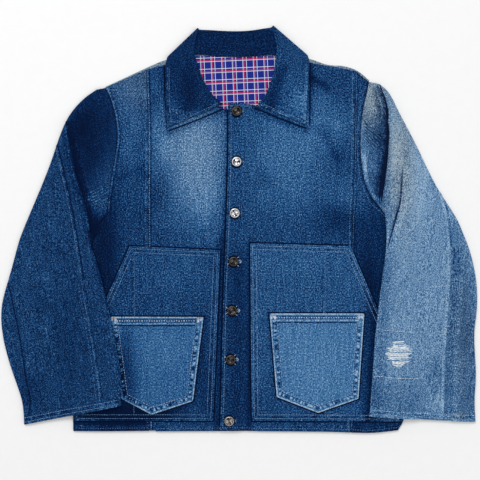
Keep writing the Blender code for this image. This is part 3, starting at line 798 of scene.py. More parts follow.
@dataclass(frozen=True)
class ButtonMetal:
    """Cast and plated metal with random dirt, whose colour runs from dark to bright along a painted pattern
    of highlights, dark reflections and shade.

    Attributes:
        name: The material's name.
        bright: The colour of its painted highlights.
        dark: The colour of its painted dark reflections and shade.
    """

    name: str
    bright: Point
    dark: Point

    def make(self) -> bpy.types.Material:
        """Builds the material.

        Returns:
            The material.
        """
        recipe = Recipe(self.name)
        coordinates = recipe.node("ShaderNodeTexCoord").outputs["Object"]
        grime = recipe.noise(coordinates, 700.0, 4.0, 0.6)
        share = recipe.mask("fade") + (grime - 0.5) * 0.9
        return recipe.finished({
            "Base Color": recipe.blend(share.rising(0.1, 0.9), self.dark, self.bright), "Metallic": 0.9,
            "Roughness": grime * -0.3 + 0.5, "Normal": recipe.bump(grime, 0.0004, 0.6),
        })


@dataclass(frozen=True)
class StudioFloor:
    """A plain pale floor.

    Attributes:
        name: The material's name.
    """

    name: str

    def make(self) -> bpy.types.Material:
        """Builds the material.

        Returns:
            The material.
        """
        recipe = Recipe(self.name)
        coordinates = recipe.node("ShaderNodeTexCoord").outputs["Object"]
        grain = recipe.noise(coordinates, 60.0, 3.0)
        return recipe.finished({
            "Base Color": recipe.blend(grain, (0.94, 0.94, 0.94, 1.0), (0.97, 0.97, 0.97, 1.0)),
            "Roughness": 0.95, "Specular IOR Level": 0.1,
        })


class Finishes:
    """Every material of the jacket, made once."""

    def __init__(self) -> None:
        """Builds the materials."""
        self.denim = Denim("washed_indigo_twill").make()
        self.soft_denim = Denim("soft_faded_twill", mottle=2.25, slub=0.4).make()
        self.sleeve_denim = Denim("fine_faded_twill", mottle=3.05, slub=0.5).make()
        self.check = CheckedCotton("woven_check").make()
        self.thread = ThreadFinish("cotton_thread").make()
        self.silver = ButtonMetal("worn_silver_plate", srgb(246, 246, 248), srgb(22, 22, 26)).make()
        self.dark_silver = ButtonMetal("dull_silver_plate", srgb(176, 172, 166), srgb(10, 10, 12)).make()
        self.gunmetal = ButtonMetal("gunmetal_plate", srgb(84, 80, 78), srgb(3, 3, 5)).make()
        self.floor = StudioFloor("pale_floor").make()


def link(name: str, mesh: bpy.types.Mesh, material: bpy.types.Material) -> bpy.types.Object:
    """Adds a mesh to the scene as a piece that rides on the jacket.

    Args:
        name: The piece's name.
        mesh: Its mesh.
        material: Its finish.

    Returns:
        The piece.
    """
    piece = bpy.data.objects.new(name, mesh)
    mesh.materials.clear()
    mesh.materials.append(material)
    bpy.context.scene.collection.objects.link(piece)
    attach(piece, "root")
    LOG.info("%s: %d faces", name, len(mesh.polygons))
    return piece


def keep(mesh: bpy.types.Mesh, name: str, values: np.ndarray) -> None:
    """Stores a number at each point of a mesh.

    Args:
        mesh: The mesh.
        name: What the numbers are called.
        values: The numbers.
    """
    if name in mesh.attributes:
        mesh.attributes.remove(mesh.attributes[name])
    mesh.attributes.new(name, "FLOAT", "POINT").data.foreach_set("value", values.astype(np.float32).ravel())


def keep_places(mesh: bpy.types.Mesh, places: np.ndarray) -> None:
    """Stores the place on the cut of cloth at each point of a mesh.

    Args:
        mesh: The mesh.
        places: The places, one a row.
    """
    if "cloth" in mesh.attributes:
        mesh.attributes.remove(mesh.attributes["cloth"])
    layer = mesh.attributes.new("cloth", "FLOAT_VECTOR", "POINT")
    layer.data.foreach_set("vector", places.astype(np.float32).ravel())


def dyed_and_shaded_mesh(name: str, points: np.ndarray, faces: Sequence[Sequence[int]], fade: np.ndarray,
              grey: np.ndarray, places: np.ndarray | None = None) -> bpy.types.Mesh:
    """Makes a smooth mesh that keeps its fading and painted shade.

    Args:
        name: The mesh's name.
        points: Its points, one a row.
        faces: Its faces.
        fade: The fading and painted shade at each point.
        grey: The turn towards grey at each point.
        places: The place of each point on the cut of cloth, if that isn't the point itself.

    Returns:
        The mesh.
    """
    mesh = bpy.data.meshes.new(name)
    mesh.from_pydata(points.tolist(), [], faces)
    mesh.shade_smooth()
    keep(mesh, "fade", fade)
    keep(mesh, "grey", grey)
    keep_places(mesh, points if places is None else places)
    return mesh


def vectors(items: Sequence[object], name: str) -> np.ndarray:
    """A vector that each of a mesh's items has, one a row.

    Args:
        items: The mesh's points, normals or stored places.
        name: Which of their vectors.

    Returns:
        The vectors.
    """
    values = np.empty(len(items) * 3, dtype=np.float32)
    items.foreach_get(name, values)
    return values.reshape(-1, 3).astype(float)


def quads_of(mesh: bpy.types.Mesh) -> np.ndarray:
    """The corners of a mesh's faces, of which all have four, one face a row.

    Args:
        mesh: The mesh.

    Returns:
        The numbers of the corners.
    """
    values = np.empty(len(mesh.loops), dtype=np.int32)
    mesh.loops.foreach_get("vertex_index", values)
    return values.reshape(-1, 4).astype(int)


def across(rails: Sequence[np.ndarray], columns: Sequence[int]) -> np.ndarray:
    """A grid between rails that run up a panel.

    Args:
        rails: The rails, each with the same number of points.
        columns: How many columns lie between each two rails.

    Returns:
        The grid's points, as rows, columns and the two floor axes.
    """
    parts = [rails[0][:, None, :2]]
    for a, b, count in zip(rails, rails[1:], columns):
        shares = np.arange(1, count + 1)[None, :, None] / count
        parts.append(a[:, None, :2] * (1 - shares) + b[:, None, :2] * shares)
    return np.concatenate(parts, axis=1)


class Shell:
    """A wall of cloth with rounded edges round a mesh of its middle."""

    EDGE_INSET = 0.35

    def __init__(self, name: str, middle: np.ndarray, faces: np.ndarray, normals: np.ndarray, wall: float,
                 places: np.ndarray) -> None:
        """Takes the middle of the cloth.

        Args:
            name: The piece's name.
            middle: The points of its middle.
            faces: Its faces of four points, facing up.
            normals: The direction of its face at each point.
            wall: Its thickness.
            places: The place of each point on the cut of cloth.
        """
        self.name = name
        self.middle = middle
        self.faces = faces
        self.normals = normals
        self.wall = wall
        self.places = places

    @classmethod
    def on_grid(cls, name: str, plan: np.ndarray, height: Height, wall: float,
                start: tuple[int, int] = (0, 0)) -> "Shell":
        """Lays a grid of floor places at its height.

        Args:
            name: The piece's name.
            plan: The grid's places on the floor.
            height: The height of the middle of the cloth.
            wall: Its thickness.
            start: The first row that lacks columns, and how many it lacks.

        Returns:
            The shell.
        """
        x, y = plan[..., 0], plan[..., 1]
        grid = np.stack([x, y, height(x, y)], axis=-1)
        rows, columns = x.shape
        normal = np.cross(np.gradient(grid, axis=1), np.gradient(grid, axis=0))
        normal /= np.linalg.norm(normal, axis=-1, keepdims=True)
        number = np.arange(rows * columns).reshape(rows, columns)
        quads = np.stack([number[:-1, :-1], number[:-1, 1:], number[1:, 1:], number[1:, :-1]], axis=-1)
        if start[1]:
            quads[start[0]:, :start[1]] = -1
        quads = quads.reshape(-1, 4)
        quads = quads[quads[:, 0] >= 0]
        if normal[..., 2].mean() < 0:
            quads, normal = quads[:, ::-1], -normal
        used = np.unique(quads)
        renumber = np.zeros(rows * columns, dtype=int)
        renumber[used] = np.arange(len(used))
        points = grid.reshape(-1, 3)[used]
        places = points * (1.0, 1.0, 0.0)
        return cls(name, points, renumber[quads], normal.reshape(-1, 3)[used], wall, places)

    @classmethod
    def on_rows(cls, name: str, rows: Sequence[Sequence[Point]], places: Sequence[Sequence[Point]],
                wall: float, levels: int, fan: bool = False) -> "Shell":
        """Smooths a coarse cloth that is given as rows, of which a later one may lack its first points.

        Args:
            name: The piece's name.
            rows: The rows of points.
            places: The place of each point on the cut of cloth.
            wall: Its thickness.
            levels: How often each face is divided.
            fan: True where the points that a row lacks are drawn together.

        Returns:
            The shell.
        """
        mesh = bmesh.new()
        layer = mesh.verts.layers.float_vector.new("cloth")
        grid = []
        for row, row_places in zip(rows, places):
            grid.append([mesh.verts.new(point) for point in row])
            for vertex, place in zip(grid[-1], row_places):
                vertex[layer] = Vector(place)
        for lower, upper in zip(grid, grid[1:]):
            spare = len(lower) - len(upper)
            for a, b, c, d in zip(lower[spare:], lower[spare + 1:], upper[1:], upper):
                mesh.faces.new((a, b, c, d))
            if fan:
                for a, b in zip(lower[:spare], lower[1:spare + 1]):
                    mesh.faces.new((a, b, upper[0]))
        coarse = bpy.data.meshes.new(name)
        mesh.to_mesh(coarse)
        mesh.free()
        carrier = bpy.data.objects.new(name, coarse)
        bpy.context.scene.collection.objects.link(carrier)
        smoothing = carrier.modifiers.new("smooth", "SUBSURF")
        smoothing.levels = smoothing.render_levels = levels
        smoothing.boundary_smooth = "PRESERVE_CORNERS"
        graph = bpy.context.evaluated_depsgraph_get()
        fine = bpy.data.meshes.new_from_object(carrier.evaluated_get(graph))
        bpy.data.objects.remove(carrier)
        faces, normals = quads_of(fine), vectors(fine.vertex_normals, "vector")
        if normals[:, 2].mean() < 0:
            faces, normals = faces[:, ::-1], -normals
        where = vectors(fine.attributes["cloth"].data, "vector")
        return cls(name, vectors(fine.vertices, "co"), faces, normals, wall, where)

    def area(self) -> float:
        """The cloth's area.

        Returns:
            The area in square metres.
        """
        a, b, c, d = (self.middle[self.faces[:, corner]] for corner in range(4))
        halves = np.concatenate([np.cross(b - a, c - a), np.cross(c - a, d - a)])
        return float(np.linalg.norm(halves, axis=1).sum() / 2)

    def mesh(self, dye_and_shade: DyeAndShade) -> bpy.types.Mesh:
        """Makes the mesh and stores its fading and painted shade.

        Args:
            dye_and_shade: How faded it is, with its painted shade and light.

        Returns:
            The mesh.
        """
        count = len(self.middle)
        heads = self.faces.ravel()
        tails = np.roll(self.faces, -1, axis=1).ravel()
        open_edge = ~np.isin(heads * count + tails, tails * count + heads)
        heads, tails = heads[open_edge], tails[open_edge]
        inset = np.zeros_like(self.middle)
        inwards = np.cross(self.normals[heads], self.middle[tails] - self.middle[heads])
        np.add.at(inset, heads, inwards)
        np.add.at(inset, tails, inwards)
        size = np.linalg.norm(inset, axis=1, keepdims=True)
        inset = np.where(size > 0, inset / np.maximum(size, 1e-12), 0.0) * self.wall * self.EDGE_INSET
        face = self.middle + self.normals * self.wall / 2 + inset
        underside = self.middle - self.normals * self.wall / 2 + inset
        edge = np.unique(heads)
        ring = np.zeros(count, dtype=int)
        ring[edge] = 2 * count + np.arange(len(edge))
        faces = np.concatenate([
            self.faces,
            self.faces[:, ::-1] + count,
            np.stack([tails, heads, ring[heads], ring[tails]], axis=-1),
            np.stack([ring[tails], ring[heads], heads + count, tails + count], axis=-1),
        ])
        x, y = self.middle[:, 0], self.middle[:, 1]
        fade, grey, places = (np.concatenate([values, values, values[edge]])
                              for values in (dye_and_shade.fade(x, y), dye_and_shade.greyness(x, y), self.places))
        points = np.concatenate([face, underside, self.middle[edge]])
        return dyed_and_shaded_mesh(self.name, points, faces.tolist(), fade, grey, places)


def declare(slot: str, nodes: Sequence[str], flat: Point, area: float) -> None:
    """Hides the solids that a cloth piece replaces.

    Args:
        slot: The record's material slot. Not used.
        nodes: The solids that it replaces.
        flat: The width and length of its cut.
        area: The area of its cut.
    """
    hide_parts(*nodes)
    area = round(min(area, flat[0] * flat[1]), 4)


def shifted(line: np.ndarray, dx: float) -> np.ndarray:
    """The line moved along X."""
    return line + np.array([dx, 0.0])


def beside(line: np.ndarray, distance: float) -> np.ndarray:
    """The line moved sideways, to its left when the distance is positive.

    Args:
        line: The line's points.
        distance: How far it moves.

    Returns:
        The moved points.
    """
    along = np.concatenate([line[1:2] - line[:1], line[2:] - line[:-2], line[-1:] - line[-2:-1]])
    left = np.stack([-along[:, 1], along[:, 0]], axis=1)
    return line + left / np.linalg.norm(left, axis=1, keepdims=True) * distance


def seam_rail(seam: Sequence[Point], inner: np.ndarray, outer: np.ndarray) -> np.ndarray:
    """A front's own seam, with its points level with the rails on its two sides.

    Args:
        seam: The seam's points.
        inner: The rail on its inner side.
        outer: The rail on its outer side.

    Returns:
        The seam as a rail.
    """
    line = curve_through(seam)
    y = (inner[:, 1] + outer[:, 1]) / 2
    rail = np.stack([np.interp(y, line[:, 1], line[:, 0]), y], axis=1)
    rail[0], rail[-1] = seam[0], seam[-1]
    return rail


def side_rail(side: Sequence[Point], armhole: Sequence[Point]) -> np.ndarray:
    """The side seam and the armhole of a front as one rail."""
    return np.concatenate([even(side, SIDE_ROWS), curve_through(armhole, 2 * FINER)[::-1][1:]])


class Lay:
    """The cloth that is laid so far, which says where something put on a piece comes to rest."""

    DROP_HEIGHT = 0.2
    STEEPEST = 0.2

    def __init__(self) -> None:
        """Starts with nothing laid."""
        self.trees: dict[str, BVHTree] = {}
        self.dyes_and_shades: dict[str, "DyeAndShade"] = {}

    def add(self, name: str, mesh: bpy.types.Mesh, dye_and_shade: "DyeAndShade") -> None:
        """Lays a piece.

        Args:
            name: The piece's name.
            mesh: Its mesh.
            dye_and_shade: Its fading and painted shade.
        """
        points = vectors(mesh.vertices, "co").tolist()
        self.trees[name] = BVHTree.FromPolygons(points, quads_of(mesh).tolist())
        self.dyes_and_shades[name] = dye_and_shade

    def drop(self, name: str, line: np.ndarray) -> tuple[np.ndarray, np.ndarray, np.ndarray]:
        """Lays a line's points on a piece.

        Args:
            name: The piece.
            line: The points' places on the floor.

        Returns:
            The points on the piece's face, its direction at each, and which of them are on the piece.
        """
        places, normals, found = [], [], []
        tree = self.trees[name]
        down = Vector((0.0, 0.0, -1.0))
        for x, y in line[:, :2]:
            place, normal, _, _ = tree.ray_cast(Vector((x, y, self.DROP_HEIGHT)), down)
            found.append(place is not None and normal.z > self.STEEPEST)
            places.append(place if place is not None else (x, y, 0.0))
            normals.append(normal if place is not None else (0.0, 0.0, 1.0))
        return np.array(places, dtype=float), np.array(normals, dtype=float), np.array(found)


@dataclass
class Bench:
    """What every sub-assembly works with.

    Attributes:
        finishes: The materials.
        lay: The cloth that is laid so far.
    """

    finishes: Finishes
    lay: Lay

    def cloth(self, shell: Shell, dye_and_shade: DyeAndShade, material: bpy.types.Material, slot: str, nodes: Sequence[str],
              flat: Point, rests_on: Sequence[str]) -> bpy.types.Object:
        """Args:
            shell: Its wall.
            dye_and_shade: How faded it is, with its painted shade and light.
            material: Its finish.
            slot: The record's material slot.
            nodes: The solids that it replaces.
            flat: The width and length of its cut.
            rests_on: What it lies on. Not used.

        Returns:
            The piece.
        """
        mesh = shell.mesh(dye_and_shade)
        self.lay.add(shell.name, mesh, dye_and_shade)
        piece = link(shell.name, mesh, material)
        declare(slot, nodes, flat, shell.area())
        return piece


@dataclass
class Fronts:
    """The two fronts, each pieced from a centre and a side strip."""

    bench: Bench
    lap_width: float = 0.024
    right_centre: DyeAndShade = DyeAndShade(0.24, (
        Spot((-0.0733, 0.1277), (0.0578, 0.119), 0.45),
        Spot((-0.0529, 0.041), (0.0238, 0.0374), 0.1),
        Spot((-0.1345, 0.0665), (0.0204, 0.0408), -0.1),
        Spot((-0.1328, 0.1515), (0.0204, 0.0544), 0.17),
    ), (
        # The first four rubs are painted shadow: beside the collar's outer edge, under its lower edge and, in
        # two parts, under the lapping left front's edge.
        Rub(((-0.1294, 0.2841), (-0.1268, 0.2195), (-0.1243, 0.1685)), 0.0068, -0.1),
        Rub(((-0.1192, 0.1634), (-0.0699, 0.1829), (-0.0223, 0.2042)), 0.0068, -0.2),
        Rub(((-0.0189, 0.1991), (-0.0206, 0.1175), (-0.0223, 0.0495), (-0.0257, -0.0185)), 0.004, -0.16),
        Rub(((-0.0274, -0.027), (-0.0342, -0.3381)), 0.0102, -0.14),
        Rub(((-0.0682, 0.0631), (-0.0665, -0.0185)), 0.0027, 0.12, 0.5),
        Rub(((-0.0546, 0.0733), (-0.0529, -0.0219)), 0.0027, 0.12, 0.5),
        Rub(((-0.0427, 0.1175), (-0.041, -0.0151)), 0.0027, 0.1, 0.5),
        Rub(((-0.0801, 0.1345), (-0.0784, 0.024)), 0.0027, 0.08, 0.5),
    ), grey_spots=(Spot((-0.0733, 0.1377), (0.0578, 0.099), 0.24),))
    right_side: DyeAndShade = DyeAndShade(0.21, (
        Spot((-0.1855, 0.2535), (0.0544, 0.051), 0.16),
        Spot((-0.1821, 0.1685), (0.0272, 0.0748), 0.15),
        # Painted shadow: beside the right sleeve, and beside the cuff at the hem.
        Spot((-0.2297, -0.044), (0.0272, 0.136), -0.19),
        Spot((-0.2025, -0.316), (0.102, 0.0272), -0.3),
    ), (
        Rub(((-0.2025, 0.0869), (-0.1685, 0.1005)), 0.0068, -0.08),
    ), grey_spots=(Spot((-0.1685, 0.2535), (0.051, 0.051), 0.35),))
    left_centre: DyeAndShade = DyeAndShade(0.24, (
        Spot((0.0933, 0.1209), (0.0578, 0.102), 0.24),
        Spot((0.1545, 0.177), (0.051, 0.0374), 0.18),
        Spot((0.0287, 0.1345), (0.0442, 0.119), 0.1),
        Spot((0.1919, 0.058), (0.0442, 0.034), 0.14),
        Spot((0.1409, 0.2212), (0.0153, 0.017), 0.12),
        # Painted shadow by the collar's tip.
        Spot((0.1392, 0.1668), (0.017, 0.0119), -0.12),
        Spot((0.1664, 0.177), (0.0102, 0.0085), 0.1),
        Spot((0.0423, 0.0801), (0.0238, 0.017), -0.08),
        Spot((0.1715, 0.0189), (0.051, 0.0272), -0.13),
    ), (
        # Painted shadow under the collar's lower edge and beside its outer edge, and painted shade in a dent
        # and a fold below the shoulder.
        Rub(((0.0253, 0.2059), (0.0695, 0.1855), (0.1137, 0.1685)), 0.0068, -0.2),
        Rub(((0.1222, 0.2875), (0.1214, 0.1719)), 0.0059, -0.1),
        Rub(((0.1222, 0.2569), (0.1494, 0.2382)), 0.0068, -0.18),
        Rub(((0.1477, 0.1549), (0.1681, 0.1192)), 0.0068, -0.16),
        Rub(((-0.0019, -0.0559), (-0.0053, -0.333)), 0.0204, -0.12),
        # Painted shadow beside the large pocket's edge.
        Rub(((0.0219, -0.0236), (0.0168, -0.333)), 0.0051, -0.16),
    ))
    left_side: DyeAndShade = DyeAndShade(0.12, (
        Spot((0.1987, 0.1855), (0.0204, 0.085), 0.18),
        Spot((0.2021, 0.058), (0.0238, 0.0374), 0.16),
        # Painted shade beside the left sleeve.
        Spot((0.2191, -0.095), (0.0153, 0.051), -0.1),
    ))

    def make(self) -> None:
        """Lays the four strips."""
        half_gap = SEAM_GAP / 2
        hidden = [(x + self.lap_width, y) for x, y in LEFT_EDGE[:-1]] + [RIGHT_NECK[0]]
        inner = np.concatenate([even(hidden, EDGE_ROWS), even(RIGHT_NECK, NECK_ROWS)[1:]])
        outer = side_rail(RIGHT_SIDE, RIGHT_ARMHOLE)
        seam = seam_rail(RIGHT_SEAM, inner, outer)
        self._strip("front_right_centre", across([inner, shifted(seam, half_gap)], [46]), BODY.front,
                    self.right_centre, "faded_denim", (0.17, 0.62))
        self._strip("front_right_side", across([shifted(seam, -half_gap), outer], [36]), BODY.front,
                    self.right_side, "indigo_denim", (0.14, 0.62))

        edge = even(LEFT_EDGE, EDGE_ROWS)
        lap = even(LEFT_EDGE[:-1] + [(LEFT_NECK_TOP[1][0] - BODY.LAP_START, LEFT_NECK_TOP[1][1])], EDGE_ROWS)
        step = even(LEFT_EDGE[:-1] + [(LEFT_NECK_TOP[2][0] - BODY.LAP_END, LEFT_NECK_TOP[2][1])], EDGE_ROWS)
        lap, step = shifted(lap, BODY.LAP_START), shifted(step, BODY.LAP_END)
        neck = np.concatenate([step, even(LEFT_NECK, NECK_ROWS)[1:]])
        outer = side_rail(LEFT_SIDE, LEFT_ARMHOLE)
        seam = seam_rail(LEFT_SEAM, neck, outer)
        rise = neck[EDGE_ROWS:] - neck[EDGE_ROWS]
        edge, lap = (np.concatenate([rail, rail[-1] + rise[1:]]) for rail in (edge, lap))
        plan = across([edge, lap, neck, shifted(seam, -half_gap)], [9, 5, 56])
        self._strip("front_left_centre", plan, BODY.left_front, self.left_centre, "indigo_denim",
                    (0.24, 0.62), (EDGE_ROWS, 14))
        self._strip("front_left_side", across([shifted(seam, half_gap), outer], [28]), BODY.left_front,
                    self.left_side, "indigo_denim", (0.11, 0.62))

    def _strip(self, name: str, plan: np.ndarray, height: Height, dye_and_shade: DyeAndShade, slot: str, flat: Point,
               start: tuple[int, int] = (0, 0)) -> None:
        """Lays one strip."""
        shell = Shell.on_grid(name, plan, height, BODY_WALL, start=start)
        self.bench.cloth(shell, dye_and_shade, self.bench.finishes.denim, slot, [name], flat, ["back"])


@dataclass
class Back:
    """The back, flat on the floor, with its yoke wrapped forward at the shoulders."""

    bench: Bench
    dye_and_shade: DyeAndShade = DyeAndShade(0.72, grey=0.85)

    EVERY = 4
    COLUMNS = 72
    YOKE_ROWS = 15

    def make(self) -> None:
        """Lays the back."""
        right, left = side_rail(RIGHT_SIDE, RIGHT_ARMHOLE), side_rail(LEFT_SIDE, LEFT_ARMHOLE)
        plan = across([right[::self.EVERY], left[::self.EVERY]], [self.COLUMNS])
        hem = curve_through(HEM)
        plan[0, :, 1] = np.interp(plan[0, :, 0], hem[:, 0], hem[:, 1])
        crest = even(BODY.shoulder, self.COLUMNS, True)
        shares = np.linspace(0.0, 1.0, self.YOKE_ROWS + 1)[1:, None, None]
        yoke = plan[-1] * (1 - shares) + crest * shares
        shell = Shell.on_grid("back_panel", np.concatenate([plan, yoke]), level(BODY_WALL / 2), BODY_WALL)
        self.bench.cloth(shell, self.dye_and_shade, self.bench.finishes.soft_denim, "slate_denim", ["back"],
                         (0.58, 0.68), ["floor"])


@dataclass
class NeckLining:
    """The checked lining where it shows in the neck."""

    bench: Bench
    tilt: float = -2.0

    FOOT = 0.1965
    HEAD = 0.2935
    ROWS = 34
    COLUMNS = 52

    def make(self) -> None:
        """Lays the lining."""
        closed = curve_through(LINING_OUTLINE + LINING_OUTLINE[:1], 6)
        rows = []
        for y in np.linspace(self.FOOT, self.HEAD, self.ROWS):
            crossings = []
            for a, b in zip(closed, closed[1:]):
                if (a[1] - y) * (b[1] - y) <= 0 and a[1] != b[1]:
                    crossings.append(a[0] + (b[0] - a[0]) * (y - a[1]) / (b[1] - a[1]))
            places = np.linspace(min(crossings), max(crossings), self.COLUMNS)
            rows.append(np.stack([places, np.full(self.COLUMNS, y)], axis=1))
        height = level(BODY_WALL + SEAM_GAP + LINING_WALL / 2)
        shell = Shell.on_grid("neck_lining", np.array(rows), height, LINING_WALL)
        turn = math.radians(self.tilt)
        x, y = shell.places[:, 0].copy(), shell.places[:, 1].copy()
        shell.places[:, 0] = x * math.cos(turn) + y * math.sin(turn)
        shell.places[:, 1] = y * math.cos(turn) - x * math.sin(turn)
        self.bench.cloth(shell, DyeAndShade(0.5), self.bench.finishes.check, "check_lining", ["lining"], (0.16, 0.1),
                         ["back_panel"])


class Side(enum.Enum):
    """The wearer's side."""

    RIGHT = -1
    LEFT = 1


@dataclass
class Sleeve:
    """A sleeve that is folded down beside the body, with a deep fold above the armhole."""

    bench: Bench
    side: Side
    outer: Sequence[Point]
    fold: Sequence[Point]
    armhole: Sequence[Point]
    depths: Sequence[float]
    folds: Sequence[Fold]
    under_ends: Sequence[Point]
    dye_and_shade: DyeAndShade
    slot: str
    flat: Point

    STEPS = 2
    EDGE_RADIUS = 0.0017
    BASE = SLEEVE_WALL / 2 + 0.00015
    CREST = 0.0106
    PROFILE = ((-0.0006, 0.0), (0.0002, 0.14), (0.0001, 0.45), (0.0, 0.68), (0.00035, 0.86), (0.00095, 0.97),
               (0.0017, 1.0))
    SWELL = 0.0016
    RIDGE_WIDTH = 0.045
    FULL_WIDTH = 0.05
    FOOT_SHARE = 0.06
    LIP = 0.0085
    LEAST_LIP = 0.003
    LIP_SHARE = 0.3
    RIDE_HEIGHT = 0.0107
    RIDE_OUTSIDE = 0.03
    RIDE_INSIDE = 0.026
    FOOT_RIDE = (0.8, 1.0)
    LAST_FOOT = 0.005
    RUN_POINTS = 4
    TURN_POINTS = 4
    LEAF_POINTS = 7
    UNDER_COLUMNS = 8
    UNDERARM = 14
    WARP_TURN = 10.0
    FINENESS = 1.8
    WARP_FINENESS = 1.26

    def ride(self, place: Vector) -> float:
        """How far the sleeve is lifted off the floor by the side of the body under it.

        Args:
            place: A place on the floor.

        Returns:
            The lift.
        """
        line = BODY.right_side if self.side is Side.RIGHT else BODY.left_side
        inside = (place.x - np.interp(place.y, line[:, 1], line[:, 0])) * -self.side.value
        share = (inside + self.RIDE_OUTSIDE) / (self.RIDE_OUTSIDE + self.RIDE_INSIDE)
        return float(self.RIDE_HEIGHT * ease(share))

    def lip_reach(self, outer: Vector, seam: Vector) -> float:
        """How far the outer edge is tucked under, less where the sleeve is narrow."""
        return min(self.LIP, max(self.LEAST_LIP, self.LIP_SHARE * (outer - seam).length))

    def ease_at(self, place: Vector, share: float) -> float:
        """What the soft folds add to the upper wall."""
        rounded = float(ease(4 * share * (1 - share)))
        return rounded * float(folds_height(self.folds, np.float64(place.x), np.float64(place.y)))

    def upper_wall(self, outer: Vector, fold: Vector,
                   height: Callable[[Vector, float], float]) -> list[Vector]:
        """The upper wall between the two folded edges.

        Args:
            outer: The sleeve's outer edge.
            fold: Its folded inner edge.
            height: The wall's height at a place and a share of the way out.

        Returns:
            The wall's points.
        """
        inner_place = fold.lerp(outer, self.EDGE_RADIUS / (outer - fold).length)
        outer_place = outer.lerp(fold, self.EDGE_RADIUS / (outer - fold).length)
        points = []
        for step in range(1, self.LEAF_POINTS):
            share = step / self.LEAF_POINTS
            place = inner_place.lerp(outer_place, share)
            points.append(Vector((place.x, place.y, height(place, share))))
        return points

    def outer_edge(self, outer: Vector, outward: Vector, lip: float) -> list[Vector]:
        """The sleeve's outer folded edge, and its tucked lip on the floor.

        Args:
            outer: The sleeve's outer edge.
            outward: The direction across the sleeve.
            lip: How far the edge is tucked under.

        Returns:
            The edge's points.
        """
        centre = outer - outward * self.EDGE_RADIUS
        points = []
        for step in range(self.TURN_POINTS + 1):
            angle = math.radians(90 - 180 * step / self.TURN_POINTS)
            place = centre + outward * (self.EDGE_RADIUS * math.cos(angle))
            points.append(Vector((place.x, place.y, self.BASE + self.EDGE_RADIUS * (1 + math.sin(angle)))))
        end = outer - outward * lip
        return points + [Vector((end.x, end.y, self.BASE))]

    def folded_section(self, outer: Vector, fold: Vector, seam: Vector, depth: float,
                       last: bool) -> list[Vector]:
        """A ring of the upper sleeve, from the armhole seam, up the fold, over the top to the outer edge.

        Args:
            outer: The sleeve's outer edge.
            fold: The edge of its fold.
            seam: Its place on the armhole.
            depth: The fold's share of its full depth.
            last: True for the row at the underarm.

        Returns:
            The ring's points.
        """
        outward = (outer - fold).normalized()
        size = min(1.0, (outer - seam).length / self.FULL_WIDTH)
        seam_height = float(BODY.front(np.float64(seam.x), np.float64(seam.y)))

        def top(place: Vector, share: float) -> float:
            """Height of the upper wall."""
            flat = self.BASE + 2 * self.EDGE_RADIUS + self.SWELL * size * 4 * share * (1 - share)
            unfolded = seam_height + (flat - seam_height) * float(ease(share * 3))
            crest = max(0.0, self.CREST - flat) * (1 - float(ease((place - fold).length / self.RIDGE_WIDTH)))
            return unfolded + (flat + crest - unfolded) * depth + size * self.ease_at(place, share)

        foot = self.LAST_FOOT if last else seam_height + (self.CREST - seam_height) * self.FOOT_SHARE
        edge = []
        for distance, share in self.PROFILE:
            place = fold + outward * distance
            edge.append(Vector((place.x, place.y, foot + (self.CREST - foot) * share)))
        start = Vector((seam.x, seam.y, seam_height))
        deep = [start.lerp(edge[0], step / self.RUN_POINTS) for step in range(self.RUN_POINTS)] + edge
        end = fold + outward * self.EDGE_RADIUS
        end_height = top(end, 0.0)
        flat_line = []
        for step in range(len(deep)):
            share = step / (len(deep) - 1)
            place = seam.lerp(end, share)
            height = seam_height + (end_height - seam_height) * float(ease(share))
            flat_line.append(Vector((place.x, place.y, height)))
        points = [a.lerp(b, depth) for a, b in zip(flat_line, deep)]
        if last:
            points = points[self.RUN_POINTS:]
        lip = self.lip_reach(outer, seam)
        return points + self.upper_wall(outer, fold, top) + self.outer_edge(outer, outward, lip)

    def tube_section(self, outer: Vector, fold: Vector, foot_share: float) -> list[Vector]:
        """A ring of the lower sleeve, round the inner edge, over the top, to the outer edge.

        Args:
            outer: The sleeve's outer edge.
            fold: Its inner edge.
            foot_share: How much of the lift the inner edge's foot takes part in.

        Returns:
            The ring's points.
        """
        outward = (outer - fold).normalized()

        def top(place: Vector, share: float) -> float:
            """Height of the upper wall."""
            round_part = self.SWELL * 4 * share * (1 - share) + self.ease_at(place, share)
            return self.BASE + self.ride(place) + 2 * self.EDGE_RADIUS + round_part

        foot = fold + outward * self.EDGE_RADIUS
        lift = self.ride(foot)
        low, high = self.BASE + foot_share * lift, self.BASE + lift + 2 * self.EDGE_RADIUS
        edge = []
        for step in range(len(self.PROFILE)):
            angle = math.radians(-90 - 180 * step / (len(self.PROFILE) - 1))
            place = fold + outward * (self.EDGE_RADIUS * (1 + math.cos(angle)))
            edge.append(Vector((place.x, place.y, low + (high - low) / 2 * (1 + math.sin(angle)))))
        return edge + self.upper_wall(outer, fold, top) + self.outer_edge(outer, outward, self.LIP)

